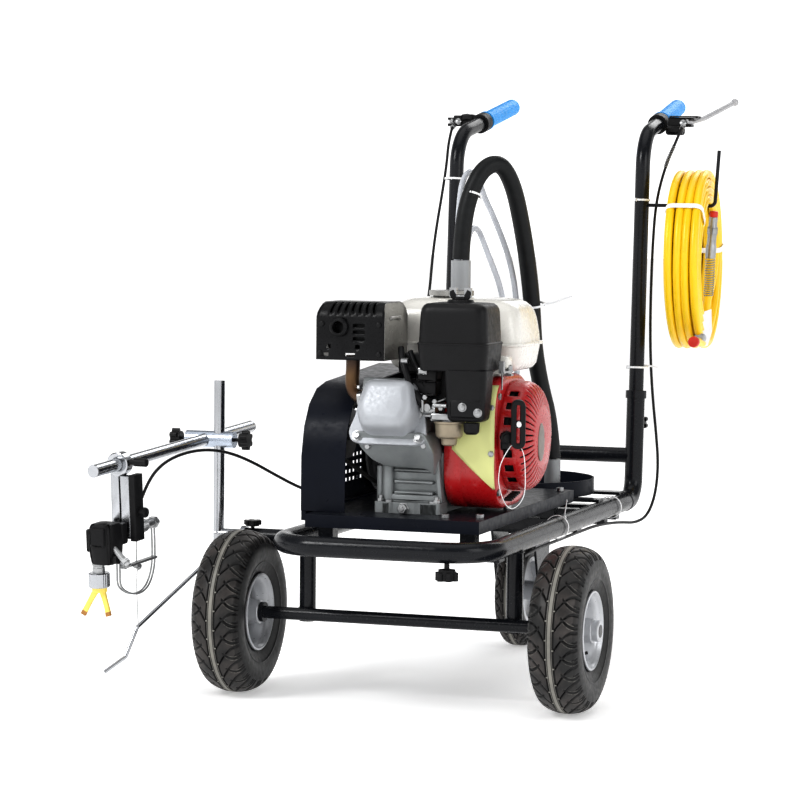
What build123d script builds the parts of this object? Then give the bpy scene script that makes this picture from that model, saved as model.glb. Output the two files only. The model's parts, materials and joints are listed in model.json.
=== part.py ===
from build123d import *
import os
from math import tan, radians, sin, cos

# Walk-behind line striping machine. Millimetres.
# Working frame: X to the machine's right seen from the front, Y towards the operator,
# Z up, zero on the ground under the middle of the front axle.
# Every piece is moved by SHIFT at the end, so the origin is the bottom centre of the box.

os.makedirs("parts", exist_ok=True)

SHIFT = Vector(78.338, -442.19, 0.0)

# driving sizes
FX = 5.0                 # middle of the frame
HALF = 172.0             # middle of the frame to a side tube's axis
LEFT = FX - HALF
RIGHT = FX + HALF
TUBE_R = 16.0            # frame tube
TUBE_WALL = 2.0
LOOP_Z = 258.0
LOOP_FRONT = -151.0
LOOP_REAR = 700.0
BEND_R = 75.0
BAR_TOP = 257.0          # cross bars under the engine tray
WHEEL_X = 275.0
WHEEL_R = 130.0
AXLE_R = 10.0
AXLE_Z = 130.0
LEG_R = 13.0
LEG_Y = 20.0
CASTER_X = 5.0
CASTER_Y = 650.0
SWIVEL_Y = 615.0
CASTER_R = 99.0
TRAY_TOP = 300.0
TRAY_X0, TRAY_X1 = -134.0, 150.0
TRAY_Y0, TRAY_Y1 = -85.0, 460.0
HANDLE_R = 13.0
SOCKET_BORE = 13.3
HX = (FX - 174.0, FX + 174.0)      # handle axes
CRANK_Y, CRANK_Z = 95.0, 415.0
AIR_X, AIR_Y = 93.0, -11.0
PUMP_Y, PUMP_Z = 320.0, 385.0
HEAD_TILT = 21.0
BUCKET_Y = 606.0
BUCKET_R = 137.0


def box(x0, x1, y0, y1, z0, z1):
    return Pos((x0 + x1) / 2, (y0 + y1) / 2, (z0 + z1) / 2) * Box(x1 - x0, y1 - y0, z1 - z0)


def rod(p, q, r):
    """Round bar of radius r from p to q."""
    p, q = Vector(*p), Vector(*q)
    frame = Plane(origin=p, z_dir=(q - p))
    return frame * Cylinder(r, (q - p).length, align=(Align.CENTER, Align.CENTER, Align.MIN))


def ring(p, q, r_out, r_in):
    return rod(p, q, r_out) - rod(p, q, r_in)


def turned(profile, centre):
    """Solid turned about an axis along X: profile holds (distance along X, radius)."""
    points = [(x, r) for x, r in profile]
    face = make_face(Polyline(*points, close=True))
    return Pos(*centre) * revolve(face, Axis.X)


def plate(points, x0, x1):
    """Prism along X: points hold (Y, Z)."""
    sketch = Plane.YZ * make_face(Polyline(*points, close=True))
    return Pos(x0, 0, 0) * extrude(sketch, x1 - x0)


def radii_of(points):
    """Largest even bend at every corner: 0.45 of the shorter run."""
    out = []
    for a, b, c in zip(points, points[1:], points[2:]):
        u, v = Vector(*b) - Vector(*a), Vector(*c) - Vector(*b)
        turn = radians(u.get_angle(v))
        out.append(0.45 * min(u.length, v.length) / tan(turn / 2))
    return out


def flex(name, points, r, wall=None):
    """Hose or cable: straight runs joined by tangent arcs."""
    radii = radii_of(points)
    print(name, "bend radii", [round(v) for v in radii])
    path = FilletPolyline(*points, radius=radii)
    section = Plane(origin=points[0], z_dir=path % 0) * Circle(r)
    solid = sweep(section, path=path)
    if wall:
        core = Plane(origin=points[0], z_dir=path % 0) * Circle(r - wall)
        solid = solid - sweep(core, path=path)
    return solid


def bent(points, r, bend, wall=None):
    """Bent metal tube or rod with one bend radius."""
    path = FilletPolyline(*points, radius=bend)
    start = Vector(*points[0])
    outer = sweep(Plane(origin=start, z_dir=path % 0) * Circle(r), path=path)
    if wall is None:
        return outer
    inner = sweep(Plane(origin=start, z_dir=path % 0) * Circle(r - wall), path=path)
    return outer - inner


def star_knob(p, q, r=17.0, lobes=6, stem=None):
    """Star knob between p and q, with an optional threaded stem in front of p."""
    p, q = Vector(*p), Vector(*q)
    frame = Plane(origin=p, z_dir=(q - p))
    h = (q - p).length
    low = (Align.CENTER, Align.CENTER, Align.MIN)
    body = Cylinder(r * 0.72, h, align=low)
    for i in range(lobes):
        lobe = Pos(0, 0, h * 0.25) * Cylinder(r * 0.26, h * 0.75, align=low)
        body += Rot(0, 0, 360 / lobes * i) * Pos(r * 0.74, 0, 0) * lobe
    if stem:
        body += Pos(0, 0, -stem) * Cylinder(3.0, stem + 1, align=low)
    return frame * body


PARTS = {}


def keep(name, *solids):
    """One node: a single solid, or a group of separate ones."""
    found = []
    for s in solids:
        found += list(s.solids())
    PARTS[name] = found[0] if len(found) == 1 else Compound(children=found)


# handle sockets lean back a little, so one line gives Y at a height


def handle_y(z):
    return 757.0 + (z - 300.0) * 0.06


# ---------------------------------------------------------------- frame

def loop_path():
    return [(LEFT, LOOP_REAR, LOOP_Z), (LEFT, LOOP_FRONT, LOOP_Z),
            (RIGHT, LOOP_FRONT, LOOP_Z), (RIGHT, LOOP_REAR, LOOP_Z)]


loop_solid = bent(loop_path(), TUBE_R, BEND_R)
keep("frame_loop", bent(loop_path(), TUBE_R, BEND_R, TUBE_WALL))


def cross_bar(y, depth, z0, z1):
    return box(LEFT, RIGHT, y - depth / 2, y + depth / 2, z0, z1) - loop_space


rest_r = TUBE_R + 0.05
loop_space = bent(loop_path(), rest_r, BEND_R)


def socket_path(x):
    sx = LEFT if x < FX else RIGHT
    return [(sx, LOOP_REAR + 0.2, LOOP_Z), (x, handle_y(LOOP_Z), LOOP_Z), (x, handle_y(448), 448)]


members = []
for y in (-50.0, 400.0):
    members.append(cross_bar(y, 30, 236, BAR_TOP))
    for x in (TRAY_X0 + 14, TRAY_X1 - 38):
        members.append(box(x, x + 24, y - 12, y + 12, BAR_TOP, TRAY_TOP - 3))
for y in (575.0, 655.0):
    members.append(cross_bar(y, 24, 232, 256))
for y in (540.0, 680.0):
    strap = box(LEFT, RIGHT, y - 15, y + 15, LOOP_Z + TUBE_R - 0.8, 278.5)
    members.append(strap - loop_space)
keep("cross_members", *members)

axle = rod((-322, 0, AXLE_Z), (322, 0, AXLE_Z), AXLE_R)
for side in (-1, 1):
    axle += rod((side * 232, 0, AXLE_Z), (side * 238.5, 0, AXLE_Z), 16)
    axle += rod((side * 311.5, 0, AXLE_Z), (side * 318, 0, AXLE_Z), 15)
for x in (LEFT, RIGHT):
    axle += rod((x, LEG_Y, 117), (x, LEG_Y, LOOP_Z), LEG_R) - loop_solid
keep("axle_frame", *axle.solids()[:1])

socket_group = []
for x in HX:
    tube = bent(socket_path(x), TUBE_R, 40)
    tube -= box(x - 60, x + 60, LOOP_REAR - 60, LOOP_REAR + 0.2, LOOP_Z - 40, LOOP_Z + 40)
    top = (x, handle_y(452), 452)
    tube += rod((x, handle_y(438), 438), top, 18.5)
    bore = rod((x, handle_y(306), 306), (x, handle_y(460), 460), SOCKET_BORE)
    socket_group.append(tube - bore)
crossbar = rod((HX[0], handle_y(336), 336), (HX[1], handle_y(336), 336), 13.5)
for x in HX:
    crossbar -= rod((x, handle_y(250), 250), (x, handle_y(500), 500), TUBE_R)
keep("handle_sockets", *socket_group, crossbar)

tray = box(TRAY_X0, TRAY_X1, TRAY_Y0, TRAY_Y1, TRAY_TOP - 20, TRAY_TOP)
tray -= box(TRAY_X0 + 3, TRAY_X1 - 3, TRAY_Y0 + 3, TRAY_Y1 - 3, TRAY_TOP - 21, TRAY_TOP - 3)
keep("engine_tray", tray)

bucket = Pos(FX, BUCKET_Y, 278.6) * Cylinder(BUCKET_R, 27, align=(Align.CENTER, Align.CENTER, Align.MIN))
bucket -= Pos(FX, BUCKET_Y, 281.1) * Cylinder(BUCKET_R - 2.5, 40, align=(Align.CENTER, Align.CENTER, Align.MIN))
keep("bucket_tray", bucket)

# ---------------------------------------------------------------- front wheels


def tyre(centre):
    profile = [(-27, 54.5), (27, 54.5), (29.2, 62), (37, 74), (41, 92), (40, 109), (34, 121),
               (22, 127.5), (8, WHEEL_R), (-8, WHEEL_R), (-22, 127.5), (-34, 121), (-40, 109),
               (-41, 92), (-37, 74), (-29.2, 62)]
    return turned(profile, centre)


def rim(centre, valve_side):
    band = turned([(-33, 50), (33, 50), (33, 61), (30, 61), (30, 54), (-30, 54), (-30, 61), (-33, 61)], centre)
    disc = turned([(-2, 17), (2, 17), (2, 51), (-2, 51)], centre)
    hub = turned([(-36, AXLE_R + 0.05), (36, AXLE_R + 0.05), (36, 19), (-36, 19)], centre)
    valve = rod((centre[0] + valve_side * 20, 0, centre[2] + 51),
                (centre[0] + valve_side * 44, 0, centre[2] + 38), 3.5)
    return (band + disc + hub) + valve


for name, side in (("left", -1), ("right", 1)):
    c = (side * WHEEL_X, 0, AXLE_Z)
    keep("wheel_%s_tyre" % name, tyre(c))
    body = rim(c, 1)
    keep("wheel_%s_rim" % name, body)

# ---------------------------------------------------------------- caster

mount = box(CASTER_X - 55, CASTER_X + 55, 558, 672, 226, 231.8)
mount += rod((CASTER_X, SWIVEL_Y, 228), (CASTER_X, SWIVEL_Y, 204), 10)
mount += rod((CASTER_X, SWIVEL_Y, 204), (CASTER_X, SWIVEL_Y, 207.5), 15)
keep("caster_mount", mount)

fork = box(CASTER_X - 40, CASTER_X + 40, 588, 694, 208, 214)
fork += rod((CASTER_X, SWIVEL_Y, 213), (CASTER_X, SWIVEL_Y, 225.5), 25)
for side in (-1, 1):
    x0 = CASTER_X + side * 38 - 2
    fork += plate([(588, 210), (694, 210), (668, 84), (632, 84)], x0, x0 + 4)
fork += rod((CASTER_X - 45, CASTER_Y, CASTER_R), (CASTER_X + 45, CASTER_Y, CASTER_R), 6)
fork -= rod((CASTER_X, SWIVEL_Y, 205), (CASTER_X, SWIVEL_Y, 226), 10.05)
keep("caster_fork", fork)

c = (CASTER_X, CASTER_Y, CASTER_R)
keep("caster_tyre", turned([(-18, 60), (18, 60), (25, 72), (25, 86), (19, 95), (8, CASTER_R),
                            (-8, CASTER_R), (-19, 95), (-25, 86), (-25, 72)], c))
keep("caster_rim", turned([(-34, 6.05), (34, 6.05), (34, 17), (6, 17), (6, 52), (19, 52), (19, 59.7),
                           (-19, 59.7), (-19, 52), (-6, 52), (-6, 17), (-34, 17)], c))

# ---------------------------------------------------------------- handles

BEND_TOP = (793.0, 905.0)      # corner where the grip line leaves the upright
GRIP_END = (1094.0, 963.0)
GRIP_IN = 12.0


def inward(x):
    return GRIP_IN if x < FX else -GRIP_IN


def on_grip(x, y):
    """Point of the grip's axis at depth y, on the handle whose upright stands at x."""
    part = (y - BEND_TOP[0]) / (GRIP_END[0] - BEND_TOP[0])
    return (x + inward(x) * part, y, BEND_TOP[1] + (GRIP_END[1] - BEND_TOP[1]) * part)


tubes, grips = [], []
for x in HX:
    path = [(x, handle_y(330), 330), (x, BEND_TOP[0], BEND_TOP[1]), on_grip(x, GRIP_END[0])]
    tubes.append(bent(path, HANDLE_R, 72, 2))
    sleeve = rod(on_grip(x, 946), on_grip(x, 1101), 15.6)
    sleeve += rod(on_grip(x, 943), on_grip(x, 949), 18)
    sleeve -= rod(on_grip(x, 935), on_grip(x, GRIP_END[0] + 0.1), HANDLE_R + 0.05)
    grips.append(sleeve)
keep("handle_tubes", *tubes)
keep("grips", *grips)

mounts = []
for x, out in ((HX[0], -1), (HX[1], 1)):
    clamp = ring(on_grip(x, 912), on_grip(x, 936), 18, HANDLE_R + 0.05)
    arm = box(min(x + out * 15, x + out * 58), max(x + out * 15, x + out * 58), 914, 934, 924, 940)
    arm -= rod(on_grip(x, 900), on_grip(x, 945), HANDLE_R + 3)
    arm -= box(x + out * 50 - 12, x + out * 50 + 12, 910, 940, 929, 935.5)
    arm += rod((x + out * 50, 924, 924.5), (x + out * 50, 924, 939.5), 3)
    barrel = rod((x + out * 44, 914, 927), (x + out * 44, 900, 922), 3.8)
    mounts.append(clamp + arm + barrel)
keep("lever_mounts", *mounts)


def lever_room(x):
    """Space over and under the slot, which the lever's blade stays out of."""
    return box(x - 20, x + 20, 910, 936, 935.1, 950) + box(x - 20, x + 20, 910, 936, 915, 929.4)


px = HX[1] + 50
brake = rod((px, 924, 929.4), (px, 924, 935.1), 8)
brake += bent([(px + 2, 929, 932.2), (px + 22, 962, 941), (px + 60, 1040, 972)], 4.5, 60) - lever_room(px)
brake += Pos(px + 60, 1040, 972) * Sphere(7)
brake -= rod((px, 924, 920), (px, 924, 945), 3.05)
keep("brake_lever", brake)

px = HX[0] - 50
thumb = rod((px, 924, 929.4), (px, 924, 935.1), 8)
thumb += bent([(px, 929, 932.2), (px + 3, 944, 936), (px + 8, 970, 944)], 4.5, 20) - lever_room(px)
thumb -= rod((px, 924, 920), (px, 924, 945), 3.05)
keep("gun_lever", thumb)

for name, x in (("left", HX[0]), ("right", HX[1])):
    y = handle_y(392)
    keep("lock_knob_%s" % name, star_knob((x, y + 24, 393), (x, y + 38, 393), 16, stem=7.5))

hook = bent([(HX[1] + HANDLE_R - 1, handle_y(782), 782), (311, 791, 782), (317, 792, 880)], 3.2, 9)
hook -= rod((HX[1], handle_y(700), 700), (HX[1], handle_y(850), 850), HANDLE_R)
keep("hose_hook", hook)

COIL_TURN = radians(4.5)
COIL_AXIS = Vector(cos(COIL_TURN), sin(COIL_TURN), 0)
COIL_C = Vector(272, 800, 687)
COIL_HALF = 31.0
a0, a1 = COIL_C - COIL_AXIS * COIL_HALF, COIL_C + COIL_AXIS * COIL_HALF
coil = ring(a0, a1, 158, 100.6)
coil = fillet(coil.edges().filter_by(GeomType.CIRCLE), 7)
keep("hose_coil", coil)
keep("hose_fittings",
     rod((312.7, 778, 690), (313.5, 772, 765), 7),
     rod((304, 668, 546), (304, 712, 546), 8.5))

# ---------------------------------------------------------------- engine

case = box(-28, 60, -22, 190, TRAY_TOP, 316)
case += fillet(box(-18, 64, 2, 184, 314, 490).edges().filter_by(Axis.X), 26)
axis = Vector(0, -cos(radians(HEAD_TILT)), sin(radians(HEAD_TILT)))
head_plane = Plane(origin=(-10, CRANK_Y, CRANK_Z), x_dir=(1, 0, 0), z_dir=axis)
low = (Align.CENTER, Align.CENTER, Align.MIN)
case += head_plane * Pos(0, 0, 20) * Box(88, 92, 75, align=low)
case -= rod((-30, CRANK_Y, CRANK_Z), (14, CRANK_Y, CRANK_Z), 12.55)
case -= rod((-30, 25, 352), (-4, 25, 352), 8.2)
case -= box(40, 80, -40, 62, 396, 520)
case -= head_plane * Pos(0, 0, 95) * Box(140, 220, 60, align=low)
keep("crankcase", case)

head = head_plane * Pos(0, 0, 95) * Box(108, 104, 40, align=low)
keep("cylinder_head", head)
cover = head_plane * Pos(0, 0, 135) * Box(98, 92, 46, align=low)
head_axis = Axis((0, 0, 0), tuple(axis))
cover = fillet(cover.edges().filter_by(head_axis), 22)
cover = fillet(cover.faces().sort_by(head_axis)[-1].edges(), 10)
keep("rocker_cover", cover)

can = fillet(box(-130, -18, -50, 62, 540, 629).edges().filter_by(Axis.Y), 12)
can -= rod((-92, -52, 591), (-92, -30, 591), 10)
can += ring((-92, -54, 591), (-92, -45, 591), 12.5, 10)
pipe = bent([(-86, -8, 539.8), (-86, -8, 474), (-64.2, -8, 474)], 10, 16)
keep("muffler", can, pipe)

tank = fillet(box(-65, 161, 75, 235, 520, 634).edges(), 22)
tank += box(-68, 164, 72, 238, 560, 564)
tank += rod((27, 150, 630), (27, 150, 637), 28)
tank -= rod((27, 150, 625), (27, 150, 640), 20.3)
keep("fuel_tank", tank)
cap = ring((27, 150, 637.3), (27, 150, 645), 36, 0.001)
cap += rod((27, 150, 626), (27, 150, 640), 20)
keep("tank_cap", cap)

cleaner = fillet(box(36, 150, -62, 40, 527, 631).edges(), 12)
cleaner += rod((AIR_X, AIR_Y, 630), (AIR_X, AIR_Y, 637), 21)
keep("air_cleaner", cleaner)
elbow = fillet(box(80, 148, -58, -8.6, 450, 526.8).edges().filter_by(Axis.Z), 12)
keep("air_elbow", elbow)
carb = box(44.2, 57.8, -52, -16, 440, 474) + box(50, 100, -52, -12, 424, 445.8)
carb += rod((72, -30, 398), (72, -30, 425), 22)
keep("carburettor", carb)

shroud = fillet(box(66.5, 150, -6, 188, 307, 517).edges().filter_by(Axis.X), 55)
inner = fillet(box(60, 147.5, -3.5, 185.5, 309.5, 514.5).edges().filter_by(Axis.X), 52)
shroud = shroud - inner
keep("fan_housing", shroud)
dome = turned([(0.2, 60), (0.2, 87), (26, 85), (38, 76), (46, 60), (49, 0.001), (46.5, 0.001),
               (43.5, 58), (36, 73), (25, 82), (3, 84), (3, 60)], (150, CRANK_Y, 420))
dome += rod((188, 12, 446), (188, -1, 446), 8)
dome -= rod((188, 14, 446), (188, -3, 446), 3)
keep("recoil_cover", dome)
pull = fillet(box(181, 195, -16, -2, 406, 486).edges().filter_by(Axis.Z), 4)
pull += rod((188, -4, 446), (188, 12, 446), 2.5)
keep("recoil_grip", pull)

stick = rod((-42, 25, 352), (-28.5, 25, 352), 13) + rod((-30, 25, 352), (-6, 25, 352), 8)
keep("dipstick", stick)

lever = box(152, 161, 2, 52, 523, 526)
lever += rod((156, 44, 523), (156, 44, 533), 6)
lever += box(152, 160, 2, 10, 523, 542)
lever -= rod((156, 44, 520), (156, 44, 535), 3.05)
keep("throttle_lever", lever)

bolts = []
for x, y in ((-20, -15), (52, -15), (-21, 183.4)):
    bolts.append(rod((x, y, 316.1), (x, y, 321), 6.5))
for x, y in ((84, -50), (134, -30), (134, 120), (-110, 430), (134, 430)):
    bolts.append(rod((x, y, TRAY_TOP + 0.1), (x, y, TRAY_TOP + 6), 6.5))
bolts.append(rod((8, -22.1, 308), (8, -30, 308), 7))
for dx in (-47, 47):
    bolts.append(head_plane * Pos(dx, -45, 135.1) * Cylinder(5.5, 6, align=low))
for x, z in ((113, 473), (139, 464)):
    bolts.append(rod((x, -58.1, z), (x, -63, z), 5))
wing = rod((AIR_X, AIR_Y, 637.1), (AIR_X, AIR_Y, 644), 8)
for side in (-1, 1):
    wing += box(AIR_X + side * 12 - 6, AIR_X + side * 12 + 6, AIR_Y - 2, AIR_Y + 2, 640, 655)
bolts.append(wing)
pivot = box(132, 162, 38, 50, 517.1, 520) + rod((156, 44, 519), (156, 44, 522.9), 5)
bolts.append(pivot + rod((156, 44, 522), (156, 44, 533), 3))
keep("bolts", *bolts)

# ---------------------------------------------------------------- belt drive and pump

skin = [(-42, 300.2), (-42, 385), (-30, 432), (-8, 466), (26, 489), (70, 498), (330, 514),
        (372, 500), (402, 468), (412, 430), (412, 300.2)]


def guard_profile(inset):
    y0, y1 = skin[0][0] + inset, skin[-1][0] - inset
    out = []
    for y, z in skin:
        ny = min(max(y, y0), y1)
        nz = z - inset if z > 380 else z
        out.append((ny + (inset if y < 60 and z > 390 else 0) * 0.5, nz))
    return out


guard = plate(skin, -157, -84)
hollow = plate([(y, z if z > 310 else 299) for y, z in guard_profile(2.2)], -154.8, -80)
guard -= hollow
slots = Compound(children=[box(-160, -150, 70 + 18 * i, 82 + 18 * i, 328 + 13 * j, 334 + 13 * j)
                           for i in range(10) for j in range(4)])
guard -= slots
guard += box(-154.9, -90, 380, 409.9, 300.2, 302.4)
keep("belt_guard", guard)


def pulley(y, z, r, shaft_end, shaft_r):
    groove = [(0, shaft_r - 1), (0, r), (3, r), (8, r - 9), (14, r - 9), (19, r), (22, r), (22, shaft_r - 1)]
    wheel = turned(groove, (-148, y, z))
    return wheel + rod((-152, y, z), (shaft_end, y, z), shaft_r)


CRANK_PULLEY_R, PUMP_PULLEY_R = 42.0, 84.0
keep("crank_pulley", pulley(CRANK_Y, CRANK_Z, CRANK_PULLEY_R, 12, 12.5))
keep("pump_pulley", pulley(PUMP_Y, PUMP_Z, PUMP_PULLEY_R, -50, 10))


def belt_loop(r_a, r_b):
    a = Pos(CRANK_Y, CRANK_Z) * Circle(r_a)
    b = Pos(PUMP_Y, PUMP_Z) * Circle(r_b)
    return make_hull(a.edges() + b.edges())


belt_face = belt_loop(CRANK_PULLEY_R + 0.5, PUMP_PULLEY_R + 0.5)
belt_hole = belt_loop(CRANK_PULLEY_R - 5.5, PUMP_PULLEY_R - 5.5)
belt = extrude(Plane.YZ * (belt_face - belt_hole), 4.4)
keep("drive_belt", Pos(-139.2, 0, 0) * belt)

pump = fillet(box(-78, 44, 262, 378, 300.2, 430).edges().filter_by(Axis.Z), 14)
pump += box(-83, 52, 246, 392, 300.2, 322)
pump -= rod((-80, PUMP_Y, PUMP_Z), (-48, PUMP_Y, PUMP_Z), 10.05)
pump += rod((-15, 332, 429), (-15, 332, 446), 21)
keep("pump_body", pump)

keep("suction_pipe",
     rod((-15, 332, 446.2), (-15, 332, 689), 16.5),
     ring((86, 552, 284), (86, 552, 343), 14, 10))
SUCTION = [(-15, 332, 690.2), (-14, 335, 742), (-6, 344, 797), (12, 360, 843), (36, 384, 854),
           (52, 408, 815), (59, 436, 750), (63, 464, 680), (65, 486, 609), (63, 506, 541),
           (69, 528, 474), (82, 547, 408), (86, 552, 345.2)]
keep("suction_hose", flex("suction_hose", SUCTION, 14.5))
RETURN_A = [(-36, 366, 446), (-37, 370, 520), (-37, 373, 596), (-36, 373, 668), (-34, 372, 736), (-31, 372, 790),
            (-29, 377.5, 817), (-27, 393, 833), (-24, 414.5, 838.5), (-22, 436, 833), (-20, 451.5, 817),
            (-14, 459, 793), (0, 462, 764), (15, 465, 728), (29, 469, 688), (38, 474, 640), (41, 481, 580),
            (38, 491, 518), (35, 500, 455), (34, 506, 390), (34.5, 510, 322)]
RETURN_B = [(-18, 372, 446), (-20, 376, 510), (-22, 378, 574), (-23, 379, 632), (-22, 379, 678), (-20, 379, 705),
            (-19.5, 384, 724), (-19, 398, 738), (-18.5, 417, 743), (-17, 436, 738), (-14, 449, 723),
            (-8, 455, 703), (2, 457, 678), (13, 459, 650), (21, 463, 614), (25, 469, 566), (23, 479, 508),
            (18, 490, 450), (14, 500, 390), (12, 506, 326)]
keep("return_hoses", flex("return_a", RETURN_A, 5.0), flex("return_b", RETURN_B, 5.0))

# ---------------------------------------------------------------- spray gun side

BAR_Y, BAR_Z = 125.0, 236.0
POST_X = -363.0
POST_R = 9.0
sleeve = ring((-322, BAR_Y, BAR_Z), (LEFT + 4, BAR_Y, BAR_Z), 13, 10.3) - loop_solid
keep("arm_receiver", sleeve.solids().sort_by(SortBy.VOLUME)[-1])
post = rod((POST_X - 4, BAR_Y, BAR_Z), (-192, BAR_Y, BAR_Z), 10)
post += rod((POST_X, BAR_Y, BAR_Z - 11), (POST_X, BAR_Y, 490), POST_R)
keep("gun_post", post)
keep("frame_knobs",
     star_knob((-303, BAR_Y, 252.5), (-303, BAR_Y, 262), 15, stem=3.3),
     star_knob((120, LOOP_FRONT, 233), (120, LOOP_FRONT, 216), 18, stem=0) +
     rod((120, LOOP_FRONT, 234), (120, LOOP_FRONT, 241.8), 4))

ARM_A, ARM_B = Vector(-435, -218, 366), Vector(-364, 269, 404)
arm_dir = (ARM_B - ARM_A).normalized()


def arm_at(y):
    return ARM_A + (ARM_B - ARM_A) * ((y - ARM_A.Y) / (ARM_B.Y - ARM_A.Y))


clamp_z = arm_at(BAR_Y).Z
clamp = rod((-420, BAR_Y, clamp_z), (-336, BAR_Y, clamp_z), 13.5)
clamp -= rod((POST_X, BAR_Y, 350), (POST_X, BAR_Y, 440), POST_R + 0.3)
clamp -= rod(arm_at(90), arm_at(160), 10.3)
keep("clamp_block", clamp)
keep("clamp_knobs",
     star_knob((-430, BAR_Y, clamp_z), (-446, BAR_Y, clamp_z), 16, stem=9.9),
     star_knob((-326, BAR_Y, clamp_z), (-310, BAR_Y, clamp_z), 16, stem=9.9))
keep("gun_arm", rod(ARM_A, ARM_B, 10))

# the gun hangs in a frame of its own: x to the right, y rearwards along the arm, z up
H = arm_at(-141)
lateral = Vector(arm_dir.Y, -arm_dir.X, 0).normalized()
up = lateral.cross(arm_dir)
local = Plane(origin=H, x_dir=lateral, z_dir=up)
collar = ring((0, -8, 0), (0, 8, 0), 19, 10.3)
collar += rod((18, 0, 0), (26, 0, 0), 4) + rod((25, 0, 0), (50, 0, 0), 6.5)
bars = box(-14, 2, -7, 9, -116, -14) + box(-6, 8, -5, 7, -30, -12)
bars -= rod((0, -20, 0), (0, 20, 0), 10.3)
side_bars = box(2, 20, -7, 9, -118, -17) + box(20, 30, -9, 16, -120, -18)
holder = collar + bars + side_bars
holder += rod((29, 4, -76), (44, 4, -76), 7)
holder -= rod((3, -60, -108), (3, 60, -108), 11.2)
holder -= rod((0, -20, 0), (0, 20, 0), 10.3)
keep("gun_holder", local * holder)

gun = rod((3, -40, -108), (3, 62, -108), 11) + rod((3, 61, -108), (3, 98, -108), 7)
TIP_X = -18.0
gun += fillet(box(-26, 17, -66, -22, -150, -88).edges().filter_by(Axis.Z), 8)
gun += rod((TIP_X, -44, -149), (TIP_X, -44, -166), 10)
gun += rod((14, -48, -124), (38, -52, -146), 6)
gun += rod((TIP_X + 8, -18, -160), (6.7, -18, -160), 2)
band = [(-20, -148), (-18, -198), (12, -213), (50, -213), (80, -184), (86, -112)]
for (ya, za), (yb, zb) in zip(band, band[1:]):
    gun += rod((3, ya, za), (3, yb, zb), 2.2)
gun += box(1, 5, 82, 90, -114, -104)
keep("gun_body", local * gun)
tip = rod((TIP_X, -44, -166.3), (TIP_X, -44, -190), 17)
for s in (-1, 1):
    tip += rod((TIP_X + s * 5, -44, -188), (TIP_X - 4.8 + s * 24, -50, -236), 4.5)
tip += rod((TIP_X, -44, -189), (TIP_X, -44, -200), 10)
keep("gun_tip", local * tip)
trig = box(7, 16, -14, 76, -163, -159.5) + rod((7, -18, -160), (16, -18, -160), 4)
trig += box(7, 16, -18, -8, -163, -159)
keep("gun_trigger", local * trig)

swing = ring((-321, BAR_Y, BAR_Z), (-313.5, BAR_Y, BAR_Z), 16, 13.3)
rod_path = [(-317, 112, 238), (-346, 42, 204), (-391, -145, 116), (-402, -165, 71), (-427, -190, 49)]
pointer = swing + (bent(rod_path, 3, 6) - rod((-330, BAR_Y, BAR_Z), (-300, BAR_Y, BAR_Z), 13.3))
keep("pointer_rod", pointer.solids().sort_by(SortBy.VOLUME)[-1])

# ---------------------------------------------------------------- control cables

GUN_CABLE = [(-394, -122, 318), (-389, -108, 345), (-377, -78, 370), (-360, -36, 383), (-341, 14, 386),
             (-321, 62, 378), (-299, 108, 360), (-275, 154, 335), (-250, 200, 311), (-226, 248, 294),
             (-206, 300, 286)]
keep("gun_cable", flex("gun_cable", GUN_CABLE, 2.5))
LEVER_CABLE = [(-213, 898.4, 921.6), (-214, 880, 896), (-207, 848, 852), (-202, 806, 796), (-197, 760, 738),
               (-190, 716, 682), (-180, 672, 624), (-176, 628, 566), (-178, 580, 508), (-184, 526, 452),
               (-192, 466, 398), (-199, 402, 348), (-205, 340, 308), (-206, 306, 291)]
BRAKE_CABLE = [(223, 898.4, 921.6), (214, 882, 891), (203, 850, 844), (197, 818, 786), (196, 804, 716),
               (196, 796, 640), (197, 790, 566), (200, 786, 500), (206, 782, 436), (214, 778, 376),
               (221, 770, 320), (221, 752, 268), (214, 722, 232), (202, 680, 224), (192, 628, 230),
               (184, 566, 234), (178, 498, 236), (175, 426, 235), (177, 352, 236), (175, 276, 235),
               (177, 202, 236), (176, 128, 235), (178, 66, 232)]
keep("lever_cables", flex("lever_cable", LEVER_CABLE, 2.5), flex("brake_cable", BRAKE_CABLE, 2.5))

# ---------------------------------------------------------------- write

soft = {"hose_coil", "hose_fittings"}
lows, highs = [1e9] * 3, [-1e9] * 3
for name, shape in PARTS.items():
    if name not in soft:
        b = shape.bounding_box()
        lows = [min(a, c) for a, c in zip(lows, tuple(b.min))]
        highs = [max(a, c) for a, c in zip(highs, tuple(b.max))]
print("box before the shift", [round(v, 2) for v in lows], [round(v, 2) for v in highs])
print("shift needed", [round(-(a + b) / 2, 3) for a, b in zip(lows, highs)][:2], round(-lows[2], 3))
for name, shape in PARTS.items():
    export_step(Pos(*tuple(SHIFT)) * shape, "parts/%s.step" % name)
print(len(PARTS), "nodes")
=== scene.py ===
"""Looks of a walk-behind line striping machine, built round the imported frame.

Sizes are millimetres in the machine's working frame: X to the right seen from the
front, Y rearwards, Z up, zero on the ground under the front axle. A piece is turned
into the row frame, in metres, when it is made.
"""
import json
import math

import bmesh
import bpy
from mathutils import Matrix, Vector

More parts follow.
